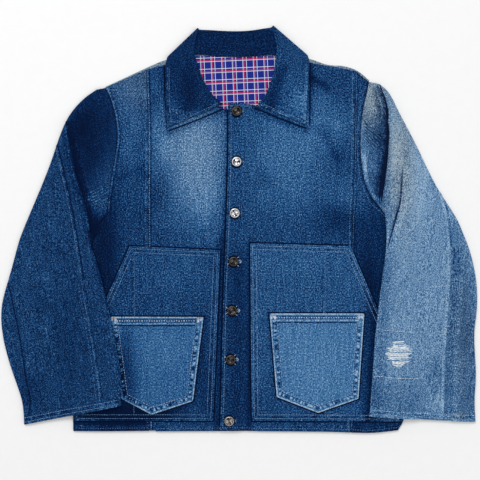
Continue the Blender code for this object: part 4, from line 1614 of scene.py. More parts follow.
    def make(self) -> bpy.types.Object:
        """Builds the sleeve's top and under pieces as one tube.

        Returns:
            The sleeve.
        """
        outer_rail = [Vector(p) for p in curve_through(self.outer, self.STEPS)]
        fold_rail = [Vector(p) for p in curve_through(self.fold, self.STEPS)]
        depth_rail = curve_through([(d, 0.0) for d in self.depths], self.STEPS)[:, 0]
        armhole = curve_through(self.armhole, self.STEPS)
        seam_rail_points = [Vector(p) for p in beside(armhole, SEAM_GAP * 2 * self.side.value)]
        last = self.UNDERARM if self.side is Side.RIGHT else self.UNDERARM - 1
        top_rows, under_rows = [], []
        for row, (outer, fold) in enumerate(zip(outer_rail, fold_rail)):
            outward = (outer - fold).normalized()
            foot_share = self.FOOT_RIDE[min(max(0, row - last - 1), len(self.FOOT_RIDE) - 1)]
            lip = self.LIP
            if row <= last:
                seam = seam_rail_points[row]
                depth = min(1.0, max(0.0, float(depth_rail[row])))
                top_rows.append(self.folded_section(outer, fold, seam, depth, row == last))
                lip = self.lip_reach(outer, seam)
            else:
                top_rows.append(self.tube_section(outer, fold, foot_share))
            start = outer - outward * (lip + SEAM_GAP)
            if row < self.UNDERARM:
                end, lift = seam_rail_points[row], 0.0
            elif row - self.UNDERARM < len(self.under_ends):
                x, y, lift = self.under_ends[row - self.UNDERARM]
                end = Vector((x, y))
            else:
                end, lift = fold + outward * (self.EDGE_RADIUS + 3 * SEAM_GAP), foot_share
            places = between(start, end, self.UNDER_COLUMNS)
            under_rows.append([Vector((p.x, p.y, self.BASE + lift * self.ride(p))) for p in places])
        name = f"sleeve_{self.side.name.lower()}"
        top = Shell.on_rows(name, top_rows, top_rows, SLEEVE_WALL, 3, fan=True)
        under = Shell.on_rows(name, under_rows, under_rows, SLEEVE_WALL, 1)
        for shell in (top, under):
            shell.places = self._grain(shell.middle)
        joined = bmesh.new()
        for shell in (top, under):
            part = shell.mesh(self.dye_and_shade)
            joined.from_mesh(part)
            bpy.data.meshes.remove(part)
        mesh = bpy.data.meshes.new(name)
        joined.to_mesh(mesh)
        joined.free()
        self.bench.lay.add(name, mesh, self.dye_and_shade)
        piece = link(name, mesh, self.bench.finishes.sleeve_denim)
        declare(self.slot, [f"{name}_top", f"{name}_under"], self.flat, top.area() + under.area())
        return piece

    def _grain(self, points: np.ndarray) -> np.ndarray:
        """The points with the sleeve's warp turned upright.

        Args:
            points: The points.

        Returns:
            The places on the cut of cloth.
        """
        turn = math.radians(self.WARP_TURN) * -self.side.value
        over = points[:, 0] * math.cos(turn) + points[:, 1] * math.sin(turn)
        along = points[:, 1] * math.cos(turn) - points[:, 0] * math.sin(turn)
        return np.stack([over * self.FINENESS, along * self.WARP_FINENESS, points[:, 2]], axis=1)


@dataclass
class Collar:
    """The collar: its leaf on the fronts and under the back of the neck, and its band inside the neck."""

    bench: Bench
    leaf_dye: DyeAndShade = DyeAndShade(0.12, (
        Spot((0.0865, 0.2569), (0.0476, 0.102), 0.16),
        Spot((0.1035, 0.211), (0.0374, 0.0442), 0.1),
        Spot((0.1103, 0.211), (0.0153, 0.0204), 0.2),
        Spot((-0.1107, 0.1957), (0.0153, 0.0306), 0.12),
        Spot((-0.0869, 0.2399), (0.017, 0.0374), -0.08),
    ), (
        Rub(((0.0525, 0.1991), (0.061, 0.2331), (0.0746, 0.2705)), 0.0102, -0.16),
        Rub(((-0.1209, 0.1787), (-0.0665, 0.1991), (-0.0257, 0.2161)), 0.0051, 0.14, 0.7),
    ))
    band_dye: DyeAndShade = DyeAndShade(0.07)

    RIGHT_ROLL = ((-0.027, 0.211), (-0.046, 0.2285), (-0.0595, 0.251), (-0.0695, 0.278), (-0.0762, 0.304),
                  (-0.0676, 0.3395))
    RIGHT_EDGE = ((-0.1205, 0.1715), (-0.122, 0.205), (-0.1235, 0.236), (-0.1245, 0.262), (-0.125, 0.277),
                  (-0.1226, 0.2865))
    RIGHT_FOOT = ((-0.0676, 0.3385), (-0.113, 0.2955))
    RIGHT_OUT = (-0.694, 0.72)
    LEFT_ROLL = ((0.032, 0.2115), (0.042, 0.223), (0.051, 0.24), (0.06, 0.272), (0.064, 0.308),
                 (0.0558, 0.3434))
    LEFT_EDGE = ((0.114, 0.1745), (0.1155, 0.203), (0.117, 0.233), (0.1185, 0.262), (0.1195, 0.28),
                 (0.1178, 0.2905))
    LEFT_FOOT = ((0.0558, 0.3424), (0.105, 0.2985))
    LEFT_OUT = (0.643, 0.766)
    BACK_ROLL = ((-0.052, 0.3385), (-0.03, 0.3368), (-0.007, 0.336), (0.02, 0.3368), (0.042, 0.341))
    BACK_EDGE = ((-0.09, 0.3005), (-0.048, 0.2995), (-0.007, 0.2975), (0.038, 0.2995), (0.082, 0.301))
    BAND_TOP = ((-0.071, 0.332), (-0.055, 0.3362), (-0.034, 0.336), (-0.007, 0.3352), (0.022, 0.336),
                (0.041, 0.3392), (0.059, 0.335))
    BAND_SEAM = ((-0.0862, 0.2945), (-0.066, 0.296), (-0.037, 0.293), (-0.007, 0.2918), (0.024, 0.293),
                 (0.052, 0.2955), (0.078, 0.2945))
    COLUMNS = 5
    LEAF_GAP = 0.0006
    CREASE_ANGLES = (45, 0, -45, -90)
    LOWEST = 0.0066
    BAND_COLUMNS = 3
    BAND_ON_LEAF = 0.0034
    BAND_ON_LINING = 0.0042

    def leaf_height(self, place: Vector) -> float:
        """Height of the middle of the leaf where it lies on the fronts."""
        front = float(BODY.front(np.float64(place.x), np.float64(place.y)))
        return max(self.LOWEST, front + BODY_WALL / 2 + self.LEAF_GAP + COLLAR_WALL / 2)

    def front_rows(self, roll: Sequence[Point], edge: Sequence[Point]) -> list[list[Vector]]:
        """Rows of the leaf on one front, from its end up to the crease at the shoulder.

        Args:
            roll: Where the leaf starts at the neck.
            edge: Its outer edge.

        Returns:
            The rows of points.
        """
        rows = []
        for start, end in zip(curve_through(roll, 2), curve_through(edge, 2)):
            places = between(start, end, self.COLUMNS)
            rows.append([Vector((p.x, p.y, self.leaf_height(p))) for p in places])
        return rows

    def crease_rows(self, top_row: Sequence[Vector], foot: Sequence[Point], out: Point) -> list[list[Vector]]:
        """Rows of the leaf round its crease at the shoulder, from the front down to the floor.

        Args:
            top_row: The last row on the front.
            foot: The crease's foot on the floor.
            out: The direction in which the crease bulges.

        Returns:
            The rows of points.
        """
        rows = []
        for angle in self.CREASE_ANGLES:
            row = []
            rise, reach = math.sin(math.radians(angle)), math.cos(math.radians(angle))
            for upper, lower in zip(top_row, between(*foot, self.COLUMNS)):
                radius = (upper.z - COLLAR_WALL / 2) / 2
                place = upper.xy.lerp(lower, (1 - rise) / 2) + Vector(out) * (radius * reach)
                row.append(Vector((place.x, place.y, COLLAR_WALL / 2 + radius * (1 + rise))))
            rows.append(row)
        return rows

    def make(self) -> None:
        """Lays the leaf and the band."""
        right = self.front_rows(self.RIGHT_ROLL, self.RIGHT_EDGE)
        left = self.front_rows(self.LEFT_ROLL, self.LEFT_EDGE)
        rows = right + self.crease_rows(right[-1], self.RIGHT_FOOT, self.RIGHT_OUT)
        for start, end in zip(self.BACK_ROLL, self.BACK_EDGE):
            rows.append([Vector((p.x, p.y, COLLAR_WALL / 2)) for p in between(start, end, self.COLUMNS)])
        rows += self.crease_rows(left[-1], self.LEFT_FOOT, self.LEFT_OUT)[::-1] + left[::-1]
        leaf = Shell.on_rows("collar_leaf", rows, self._cut(rows), COLLAR_WALL, 3)
        self.bench.cloth(leaf, self.leaf_dye, self.bench.finishes.denim, "navy_denim", ["collar_leaf"],
                         (0.6, 0.1), ["front_right_centre", "front_left_centre"])
        band_rows = []
        for start, end in zip(curve_through(self.BAND_TOP, 2), curve_through(self.BAND_SEAM, 2)):
            ends = (*start, self.BAND_ON_LEAF), (*end, self.BAND_ON_LINING)
            band_rows.append(between(*ends, self.BAND_COLUMNS))
        band = Shell.on_rows("collar_band", band_rows, self._cut(band_rows), BAND_WALL, 3)
        self.bench.cloth(band, self.band_dye, self.bench.finishes.denim, "navy_denim", ["collar_band"],
                         (0.17, 0.046), ["collar_leaf", "neck_lining"])

    def _cut(self, rows: Sequence[Sequence[Vector]]) -> list[list[Point]]:
        """The place of each point on the cut of cloth.

        Args:
            rows: The rows of points.

        Returns:
            The places, row by row.
        """
        places = []
        along = 0.0
        for number, row in enumerate(rows):
            if number:
                along += (row[0] - rows[number - 1][0]).length
            reach = 0.0
            line = [(0.0, along, 0.0)]
            for a, b in zip(row, row[1:]):
                reach += (b - a).length
                line.append((reach, along, 0.0))
            places.append(line)
        return places


@dataclass
class Pocket:
    """A pocket that is laid on a front: its own name, two of its sides, what it lies on and its fading with
    painted shade.
    """

    bench: Bench
    name: str
    sides: tuple[Sequence[Point], Sequence[Point]]
    surface: Height
    dye_and_shade: DyeAndShade

    LIFT = 0.0

    def height(self, x: np.ndarray, y: np.ndarray) -> np.ndarray:
        """Height of the middle of its wall."""
        return self.surface(x, y) + self.LIFT

    def bent(self, corners: Sequence[Point], first: int, second: int) -> np.ndarray:
        """One side of the pocket, which bends at its middle corner."""
        return np.concatenate([even(corners[:2], first, True), even(corners[1:], second, True)[1:]])


@dataclass
class LargePocket(Pocket):
    """A large pocket with a slanted mouth. Its sides are the one next to the buttons and the outer one."""

    LIFT = BODY_WALL / 2 + LAY_GAP + PATCH_WALL / 2

    LOWER_ROWS = 40
    UPPER_ROWS = 60
    COLUMNS = 86

    def make(self) -> None:
        """Lays the pocket."""
        rails = [self.bent(side, self.LOWER_ROWS, self.UPPER_ROWS) for side in self.sides]
        shell = Shell.on_grid(self.name, across(rails, [self.COLUMNS]), self.height, PATCH_WALL)
        self.bench.cloth(shell, self.dye_and_shade, self.bench.finishes.denim, "indigo_denim", [self.name],
                         (0.26, 0.32), [self.name.replace("pocket", "front") + "_centre"])


@dataclass
class JeansPocket(Pocket):
    """A small five-sided pocket on the large one. Its sides are its mouth and its foot."""

    LIFT = BODY_WALL / 2 + 2 * LAY_GAP + PATCH_WALL * 1.5
    HALF_COLUMNS = 42
    ROWS = 90

    def make(self) -> None:
        """Lays the pocket."""
        foot = self.bent(self.sides[1], self.HALF_COLUMNS, self.HALF_COLUMNS)
        top = even(self.sides[0], 2 * self.HALF_COLUMNS, True)
        shares = np.linspace(0.0, 1.0, self.ROWS)[:, None, None]
        plan = foot[None] * (1 - shares) + top[None] * shares
        shell = Shell.on_grid(self.name, plan, self.height, PATCH_WALL)
        self.bench.cloth(shell, self.dye_and_shade, self.bench.finishes.soft_denim, "pocket_denim", [self.name],
                         (0.162, 0.17), [self.name.removeprefix("jeans_")])


class ButtonKind(enum.Enum):
    """The plating of a shank button."""

    SILVER = "silver"
    DARK_SILVER = "dark_silver"
    GUNMETAL = "gunmetal"


@dataclass
class ShankButton:
    """A pressed metal shank button."""

    bench: Bench
    number: int
    at: Point
    kind: ButtonKind
    radius: float = 0.0085
    height: float = 0.0042

    PROFILE = ((0.0, 0.93), (0.14, 0.92), (0.22, 0.84), (0.36, 0.8), (0.5, 0.82), (0.6, 0.92), (0.7, 0.99),
               (0.8, 0.97), (0.9, 0.84), (0.97, 0.6), (1.0, 0.36), (0.985, 0.16), (0.93, 0.03), (0.8, 0.0),
               (0.0, 0.0))
    STEPS = 48

    def make(self) -> None:
        """Turns the button."""
        x, y = self.at
        base = float(BODY.left_front(np.float64(x), np.float64(y))) + BODY_WALL / 2 + LAY_GAP
        mesh = bmesh.new()
        rings = []
        for share, rise in self.PROFILE[1:-1]:
            ring = []
            for step in range(self.STEPS):
                angle = 2 * math.pi * step / self.STEPS
                relief = 0.035 * math.cos(8 * angle) if 0.25 < share < 0.65 else 0.0
                radius = self.radius * share
                ring.append(mesh.verts.new((x + radius * math.cos(angle), y + radius * math.sin(angle),
                                            base + self.height * (rise + relief))))
            rings.append(ring)
        crown = mesh.verts.new((x, y, base + self.height * self.PROFILE[0][1]))
        foot = mesh.verts.new((x, y, base))
        for step in range(self.STEPS):
            after = (step + 1) % self.STEPS
            mesh.faces.new((crown, rings[0][step], rings[0][after]))
            for inner, outer in zip(rings, rings[1:]):
                mesh.faces.new((inner[step], outer[step], outer[after], inner[after]))
            mesh.faces.new((rings[-1][after], rings[-1][step], foot))
        made = bpy.data.meshes.new(f"shank_button_{self.number}")
        mesh.to_mesh(made)
        where = vectors(made.vertices, "co")
        share = np.hypot(where[:, 0] - x, where[:, 1] - y) / self.radius
        angle = np.arctan2(where[:, 1] - y, where[:, 0] - x)
        # Painted light and shade: a pattern of painted highlights and dark reflections on the face, a dark
        # painted ring on the raised rim, and painted shade on the lower sides.
        painted_reflections = 0.5 + 0.35 * np.cos(2 * angle + 1.7 * self.number)
        painted_reflections = painted_reflections + 0.25 * np.cos((5 + self.number % 2) * angle + 6.0 * share)
        tone = np.where(share < 0.62, painted_reflections, np.where(share < 0.74, 0.12, 0.85))
        keep(made, "fade", np.where(where[:, 2] < base + 0.5 * self.height, 0.0, tone))
        mesh.free()
        made.shade_smooth()
        piece = link(made.name, made, getattr(self.bench.finishes, self.kind.value))
        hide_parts(f"button_{self.number}")


@dataclass(frozen=True)
class Stitches:
    """A row of sewing.

    Attributes:
        path: Where it runs.
        tone: Its fade, from 0 for indigo thread to 1 for bare cotton.
        warm: Its turn towards tan.
        length: The length of one stitch.
        gap: The gap between two.
        width: The thread's width.
        offset: How far the row runs to the left of the path.
    """

    path: Sequence[Point]
    tone: float = 0.62
    warm: float = 0.0
    length: float = 0.0032
    gap: float = 0.0009
    width: float = 0.0009
    offset: float = 0.0


def single(path: Sequence[Point], tone: float, length: float, width: float) -> Stitches:
    """Loose thread, or a stitch on its own, with hardly a gap after it."""
    return Stitches(path, tone, length=length, gap=0.00005, width=width)


@dataclass(frozen=True)
class Welt:
    """The raised fold of a felled seam or a hem, with its pale sides of wear and its dark sides, which are
    partly dark seam lines and partly painted shade; the same strip also carries painted shadow and painted
    light along edges, folds and creases.

    Attributes:
        path: Where it runs.
        width: Its width.
        height: How high it stands.
        tones: What its left edge, its crown and its right edge add to the fading, as wear or as painted shade
            and light.
        roping: How strongly the fade comes and goes along it.
        period: The length of one bright and dark part.
        offset: How far it runs to the left of the path.
        pucker_shading: How strongly painted shade darkens the hollows between its stitches and painted light
            brightens the bulges.
        taper: How much it narrows towards its ends.
    """

    path: Sequence[Point]
    width: float = 0.005
    height: float = 0.0005
    tones: Point = (0.0, 0.0, 0.0)
    roping: float = 0.1
    period: float = 0.007
    offset: float = 0.0
    pucker_shading: float = 0.0
    taper: float = 0.0


HEM_DEPTH = 0.0104
# Width of the painted shadow at a hem's foot.
HEM_SHADOW = 0.0036


def shade(path: Sequence[Point], width: float, amount: float, taper: float = 0.0) -> Welt:
    """A dark strip along a line: painted shadow beside an edge or in a fold or crease, and in a few places a
    dark seam line.
    """
    return Welt(path, width, 0.0002, (amount * 0.6, amount, amount * 0.6), roping=0.04, taper=taper)


def hem_fold(hem: np.ndarray, wear_and_shade: float) -> tuple[Welt, Welt]:
    """A hem's raised fold and the painted shadow at its foot."""
    fold = Welt(beside(hem, HEM_DEPTH / 2), 0.01, 0.0004, (0.04, -0.02, wear_and_shade), roping=0.08)
    return fold, shade(beside(hem, HEM_SHADOW / 2), HEM_SHADOW, -0.4)


@dataclass
class Sewing:
    """The seam folds, the strips of painted shade and light, and the stitches on one piece."""

    bench: Bench
    on: str
    welts: Sequence[Welt] = ()
    stitches: Sequence[Stitches] = ()

    PUCKER = 0.0092
    SEAM_STEP = 0.0016
    SEAM_END = 0.004
    CLOTH_GAP = 0.00006
    SECTION = ((-0.5, 0.0), (-0.42, 0.75), (-0.2, 1.0), (0.0, 1.0), (0.2, 1.0), (0.42, 0.75), (0.5, 0.0))
    THREAD = ((-0.5, 0.0), (-0.25, 0.55), (0.25, 0.55), (0.5, 0.0))

    def make(self) -> None:
        """Adds the raised seam folds with the strips of painted shade and light, and the threads."""
        if self.welts:
            self._seams_and_shading()
        if self.stitches:
            self._threads()

    def _frame(self, path: Sequence[Point], offset: float, step: float) -> tuple[np.ndarray, ...]:
        """Lays even points of a path on the piece, with the cloth's face, the path's side and its length.

        Args:
            path: The path.
            offset: How far to its left the points lie.
            step: The distance between two.

        Returns:
            The points, the face's direction, the side's, which are found and their lengths.
        """
        line = np.array(path, dtype=float)[:, :2]
        if offset:
            line = beside(line, offset)
        lengths = lengths_of(line)
        count = max(2, int(round(lengths[-1] / step)))
        places, normals, found = self.bench.lay.drop(self.on, even(line, count, True))
        along = np.gradient(places, axis=0)
        side = np.cross(normals, along)
        side /= np.maximum(np.linalg.norm(side, axis=1, keepdims=True), 1e-9)
        return places, normals, side, found, np.linspace(0.0, lengths[-1], count + 1)

    def _seams_and_shading(self) -> None:
        """Builds the raised folds and the strips of painted shade and light as one mesh."""
        dye_and_shade = self.bench.lay.dyes_and_shades[self.on]
        points, faces, fades_and_shading = [], [], []
        for number, welt in enumerate(self.welts):
            places, normals, side, found, reached = self._frame(welt.path, welt.offset, self.SEAM_STEP)
            rope = value_noise(reached, np.full_like(reached, 0.37 * number), welt.period, 40 + number)
            hump = np.sin(math.pi * reached / reached[-1])[:, None]
            width = welt.width * (1 - welt.taper * (1 - hump ** 0.7))
            for share, rise in self.SECTION:
                lift = welt.height * rise + self.CLOTH_GAP
                points.append(places + side * (width * share) + normals * lift)
            ends = np.clip(np.minimum(reached, reached[-1] - reached) / self.SEAM_END, 0.0, 1.0)
            beat = np.cos(2 * math.pi * (reached / self.PUCKER + 0.5 * rope))
            left, middle, right = welt.tones
            for share, _ in self.SECTION:
                # The tints and the puckers paint shade and light into the strip's colour as well as wear.
                tint = middle * (1 - abs(share) * 2) + (left if share > 0 else right) * abs(share) * 2
                tint = tint + welt.pucker_shading * np.tanh(2.0 * beat) * (1.0 - 1.3 * abs(share))
                fades_and_shading.append(dye_and_shade.fade(places[:, 0], places[:, 1]) + (tint + welt.roping * rope) * ends)
            size = len(places)
            first = sum(len(p) for p in points[:-len(self.SECTION)])
            for column in range(len(self.SECTION) - 1):
                a = first + column * size + np.arange(size - 1)
                b = a + size
                good = found[:-1] & found[1:]
                quads = np.stack([b, b + 1, a + 1, a], axis=1)[good]
                faces.extend(quads.tolist())
        where = np.concatenate(points)
        grey = dye_and_shade.greyness(where[:, 0], where[:, 1])
        mesh = dyed_and_shaded_mesh(f"seams_{self.on}", where, faces, np.concatenate(fades_and_shading), grey)
        link(mesh.name, mesh, self.bench.finishes.denim)

    def _threads(self) -> None:
        """Builds the threads as one mesh."""
        points, faces, tones, warmth = [], [], [], []
        count = 0
        chance = np.random.default_rng(sum(map(ord, self.on)))
        for row in self.stitches:
            pitch = row.length + row.gap
            places, normals, side, found, _ = self._frame(row.path, row.offset, pitch / 2)
            starts = np.arange(0, len(places) - 2, 2)
            starts = starts[found[starts] & found[starts + 2]]
            if not len(starts):
                continue
            reach = row.length / pitch
            a, b = places[starts], places[starts] + (places[starts + 2] - places[starts]) * reach
            middle = places[starts + 1] * reach + (a + b) / 2 * (1 - reach)
            wander = chance.normal(0.0, 0.00012, (len(starts), 1))
            rings = []
            for place, lift, size in ((a, 0.00002, 0.6), (middle, 0.00022, 1.0), (b, 0.00002, 0.6)):
                for share, rise in self.THREAD:
                    rings.append(place + side[starts] * (row.width * share * size + wander)
                                 + normals[starts] * (lift + row.width * rise * size))
            block = np.stack(rings, axis=1)
            points.append(block.reshape(-1, 3))
            first = count + np.arange(len(starts))[:, None] * 12
            local = []
            for ring in (0, 4):
                for corner in range(4):
                    after = (corner + 1) % 4
                    local.append((ring + corner, ring + after, ring + 4 + after, ring + 4 + corner))
            local += [(3, 2, 1, 0), (8, 9, 10, 11)]
            for quad in local:
                faces.append(first + np.array(quad)[None])
            tone = row.tone + chance.normal(0.0, 0.1, len(starts))
            tones.append(np.repeat(tone, 12))
            warmth.append(np.full(len(starts) * 12, row.warm))
            count += len(starts) * 12
        fade = np.clip(np.concatenate(tones), 0.0, 1.0)
        mesh = dyed_and_shaded_mesh(f"stitches_{self.on}", np.concatenate(points), np.concatenate(faces).tolist(), fade,
                         np.concatenate(warmth))
        link(mesh.name, mesh, self.bench.finishes.thread)


@dataclass
class Studio:
    """The floor, the soft lights and the camera."""

    finishes: Finishes
    aim: Point = (0.0015, -0.0185)
    distance: float = 1.927
    lens: float = 85.0

    def make(self) -> None:
        """Sets the floor, the lights and the camera."""
        floor = bpy.data.meshes.new("floor")
        size = 3.0
        corners = [(x * size, y * size, -0.0002) for x, y in ((-1, -1), (1, -1), (1, 1), (-1, 1))]
        floor.from_pydata(corners, [], [(0, 1, 2, 3)])
        floor.materials.append(self.finishes.floor)
        ground = bpy.data.objects.new("floor", floor)
        bpy.context.scene.collection.objects.link(ground)
        self._light("key_light", (-0.9, 1.9, 2.9), 1.3, 50.0)
        self._light("fill_light", (1.8, -1.4, 2.4), 2.4, 14.0)
        world = bpy.data.worlds.new("studio")
        world.use_nodes = True
        world.node_tree.nodes["Background"].inputs["Color"].default_value = (1.0, 1.0, 1.0, 1.0)
        world.node_tree.nodes["Background"].inputs["Strength"].default_value = 0.6
        bpy.context.scene.world = world
        camera = bpy.data.cameras.new("camera")
        camera.lens = self.lens
        camera.sensor_width = 36.0
        eye = bpy.data.objects.new("camera", camera)
        eye.location = (*self.aim, self.distance)
        bpy.context.scene.collection.objects.link(eye)
        bpy.context.scene.camera = eye
        bpy.context.scene.view_settings.view_transform = "Standard"

    def _light(self, name: str, place: Point, size: float, power: float) -> None:
        """Adds a large soft light that faces the jacket.

        Args:
            name: Its name.
            place: Where it stands.
            size: Its side.
            power: Its power in watts.
        """
        lamp = bpy.data.lights.new(name, "AREA")
        lamp.size = size
        lamp.energy = power
        holder = bpy.data.objects.new(name, lamp)
        holder.location = place
        holder.rotation_euler = (-Vector(place)).to_track_quat("-Z", "Y").to_euler()
        bpy.context.scene.collection.objects.link(holder)


RIGHT_SLEEVE = {
    "outer": ((-0.2405, 0.2365), (-0.262, 0.222), (-0.287, 0.194), (-0.303, 0.16), (-0.319, 0.112),
              (-0.339, 0.062), (-0.358, 0.017), (-0.372, -0.018), (-0.379, -0.044), (-0.389, -0.081),
              (-0.403, -0.132), (-0.4, -0.185), (-0.384, -0.243), (-0.367, -0.292), (-0.364, -0.332)),
    "fold": ((-0.231, 0.2386), (-0.25, 0.214), (-0.276, 0.188), (-0.287, 0.155), (-0.2805, 0.112),
             (-0.268, 0.064), (-0.2545, 0.018), (-0.2522, -0.0222), (-0.2455, -0.042), (-0.235, -0.076),
             (-0.221, -0.135), (-0.2085, -0.19), (-0.2005, -0.24), (-0.2, -0.272), (-0.2, -0.299)),
    "armhole": RIGHT_ARMHOLE,
    "depths": (0, 0, 0.15, 0.75, 1, 1, 1, 1),
    "folds": (
        Fold((-0.372, -0.02), (-0.292, -0.03), 0.024, 0.0026),
        Fold((-0.396, -0.12), (-0.3, -0.085), 0.028, 0.0028),
        Fold((-0.29, -0.12), (-0.24, -0.26), 0.022, 0.0022),
        Fold((-0.362, -0.215), (-0.32, -0.3), 0.02, 0.0022),
    ),
    "under_ends": ((-0.2487, -0.0182, 0.0), (-0.2526, -0.0325, 0.8)),
    "slot": "navy_denim",
    "flat": (0.4, 0.62),
}
LEFT_SLEEVE = {
    "outer": ((0.2375, 0.246), (0.254, 0.232), (0.269, 0.202), (0.285, 0.172), (0.304, 0.135), (0.328, 0.084),
              (0.35, 0.047), (0.369, 0.018), (0.38, -0.008), (0.391, -0.036), (0.402, -0.085),
              (0.4035, -0.135), (0.398, -0.18), (0.402, -0.245), (0.399, -0.29), (0.401, -0.327)),
    "fold": ((0.2265, 0.2485), (0.243, 0.228), (0.2515, 0.198), (0.2555, 0.17), (0.2555, 0.135),
             (0.25, 0.086), (0.2455, 0.046), (0.249, 0.015), (0.25, -0.004), (0.25, -0.026),
             (0.2435, -0.078), (0.2365, -0.13), (0.2305, -0.182), (0.2265, -0.245), (0.223, -0.29),
             (0.2205, -0.317)),
    "armhole": LEFT_ARMHOLE,
    "depths": (0, 0.25, 0.8, 1, 1, 1, 1, 1),
    "folds": (
        Fold((0.279, 0.115), (0.279, 0.045), 0.01, 0.0034),
        Fold((0.277, 0.045), (0.259, -0.01), 0.01, 0.003),
        Fold((0.33, 0.04), (0.315, -0.08), 0.022, 0.0026),
        Fold((0.398, -0.12), (0.35, -0.15), 0.02, 0.0026),
        Fold((0.385, -0.2), (0.372, -0.29), 0.018, 0.0026),
    ),
    "under_ends": ((0.2548, 0.0245, 0.0), (0.2572, 0.0055, 0.62), (0.256, -0.005, 0.85)),
    "slot": "slate_denim",
    "flat": (0.4, 0.62),
}
RIGHT_SLEEVE_DYE_AND_SHADE = DyeAndShade(0.2, (
    Spot((-0.285, -0.19), (0.045, 0.11), -0.05),
    # The next six spots, except the one that adds 0.05, are painted shade: in the recess between the fold and
    # the armhole, and in the fold at the underarm.
    Spot((-0.27, 0.175), (0.02, 0.025), -0.1),
    Spot((-0.2433, 0.1855), (0.0476, 0.0782), -0.15),
    Spot((-0.2229, 0.0835), (0.0204, 0.0374), 0.05),
    Spot((-0.2399, 0.0121), (0.017, 0.0204), -0.1),
    Spot((-0.2637, 0.109), (0.0306, 0.0612), -0.1),
    Spot((-0.2416, -0.0117), (0.0119, 0.0238), -0.16),
    Spot((-0.3589, -0.2701), (0.0306, 0.0306), -0.08),
), (
    # Painted shade in two creases at the underarm, painted light on two drag lines, and painted shade along
    # the recessed side of the fold.
    Rub(((-0.2263, 0.0206), (-0.2518, -0.0032)), 0.0031, -0.16),
    Rub(((-0.2246, 0.007), (-0.245, -0.0134)), 0.0031, -0.16),
    Rub(((-0.2569, 0.0495), (-0.2195, 0.0631)), 0.0027, 0.12, 0.4),
    Rub(((-0.2535, 0.0393), (-0.2229, 0.0512)), 0.0027, 0.1, 0.4),
    Rub(((-0.2858, 0.1464), (-0.2688, 0.0648), (-0.2501, -0.0049), (-0.2331, -0.095)), 0.0051, -0.09),
    Rub(((-0.3011, 0.0665), (-0.3215, -0.0185), (-0.3283, -0.1205), (-0.3215, -0.2735)),
        0.0085, 0.05, 0.6, 0.03),
    Rub(((-0.3555, -0.0525), (-0.3657, -0.1545), (-0.3487, -0.2735)), 0.0068, 0.05, 0.6, 0.03),
))
LEFT_SLEEVE_DYE_AND_SHADE = DyeAndShade(0.74, (
    Spot((0.2259, 0.1532), (0.0221, 0.0204), -0.14),
    Spot((0.2276, 0.0801), (0.0153, 0.0204), -0.14),
    Spot((0.282, 0.1311), (0.0085, 0.0306), -0.06),
    Spot((0.265, 0.0835), (0.0068, 0.0238), -0.04),
    Spot((0.264, 0.133), (0.011, 0.07), 0.16),
    Spot((0.225, 0.22), (0.02, 0.025), 0.14),
    Spot((0.2259, 0.2025), (0.0306, 0.051), -0.16),
    Spot((0.2327, 0.1175), (0.0238, 0.068), -0.26),
    Spot((0.2361, 0.0325), (0.0272, 0.0442), -0.16),
    Spot((0.2769, 0.0971), (0.0221, 0.0578), -0.02),
    Spot((0.3058, 0.0733), (0.017, 0.068), 0.18),
    Spot((0.39, -0.225), (0.03, 0.145), -0.25),
    Spot((0.2735, -0.299), (0.102, 0.0442), -0.18),
    Spot((0.3347, -0.2395), (0.0204, 0.0238), -0.16),
    Spot((0.3381, -0.2939), (0.0272, 0.0136), 0.18),
), (
    # Painted shadow in the hollow beside the fold's ridge.
    Rub(((0.232, 0.2331), (0.24, 0.2008), (0.2434, 0.1736), (0.2417, 0.1481), (0.2393, 0.0971),
         (0.2345, 0.0478)), 0.006, -0.3),
    # Painted shade along the sleeve's inner edge.
    Rub(((0.2497, -0.0559), (0.2446, -0.1205), (0.2395, -0.1885), (0.231, -0.2905)), 0.0119, -0.18),
    Rub(((0.3653, -0.0015), (0.3806, -0.0865), (0.3789, -0.197)), 0.0136, -0.14),
    # Painted shade and painted light on the two sides of a crease.
    Rub(((0.2735, 0.0988), (0.2718, 0.0648), (0.2667, 0.0325), (0.2548, -0.01)), 0.0031, -0.12, 0.3),
    Rub(((0.2803, 0.0988), (0.2786, 0.0648), (0.2735, 0.0291), (0.2599, -0.0151)), 0.0031, 0.12, 0.3),
), grey=0.1, grey_spots=(
    Spot((0.2225, 0.2195), (0.0272, 0.051), 0.7),
    Spot((0.2735, 0.109), (0.0238, 0.1054), 0.6),
    Spot((0.3738, -0.316), (0.0119, 0.0068), 0.4),
    Spot((0.376, -0.18), (0.025, 0.13), 0.22),
))
RIGHT_POCKET_DYE_AND_SHADE = DyeAndShade(0.24, (
    Spot((-0.1039, -0.0661), (0.0612, 0.0442), 0.09),
    # Painted shadow beside the right cuff.
    Spot((-0.194, -0.3143), (0.085, 0.0238), -0.3),
    Spot((-0.0529, -0.265), (0.0153, 0.068), -0.1),
), (
    # Painted shadow round the jeans pocket.
    Rub(((-0.2195, -0.1511), (-0.2008, -0.2854), (-0.1498, -0.3177), (-0.0767, -0.2939), (-0.0563, -0.1511)),
        0.0068, -0.1),
))
LEFT_POCKET_DYE_AND_SHADE = DyeAndShade(0.36, (
    Spot((0.044, -0.299), (0.0374, 0.0374), -0.1),
    Spot((0.1205, -0.3245), (0.102, 0.0119), -0.12),
    Spot((0.1035, -0.0559), (0.068, 0.0238), 0.05),
), (
    # Painted shade beside the left sleeve, and painted shadow round the jeans pocket.
    Rub(((0.231, -0.1035), (0.2276, -0.2055), (0.2225, -0.3211)), 0.0153, -0.3),
    Rub(((0.0508, -0.1443), (0.0644, -0.2854), (0.1324, -0.3126), (0.2021, -0.2871), (0.214, -0.1443)),
        0.0068, -0.1),
))
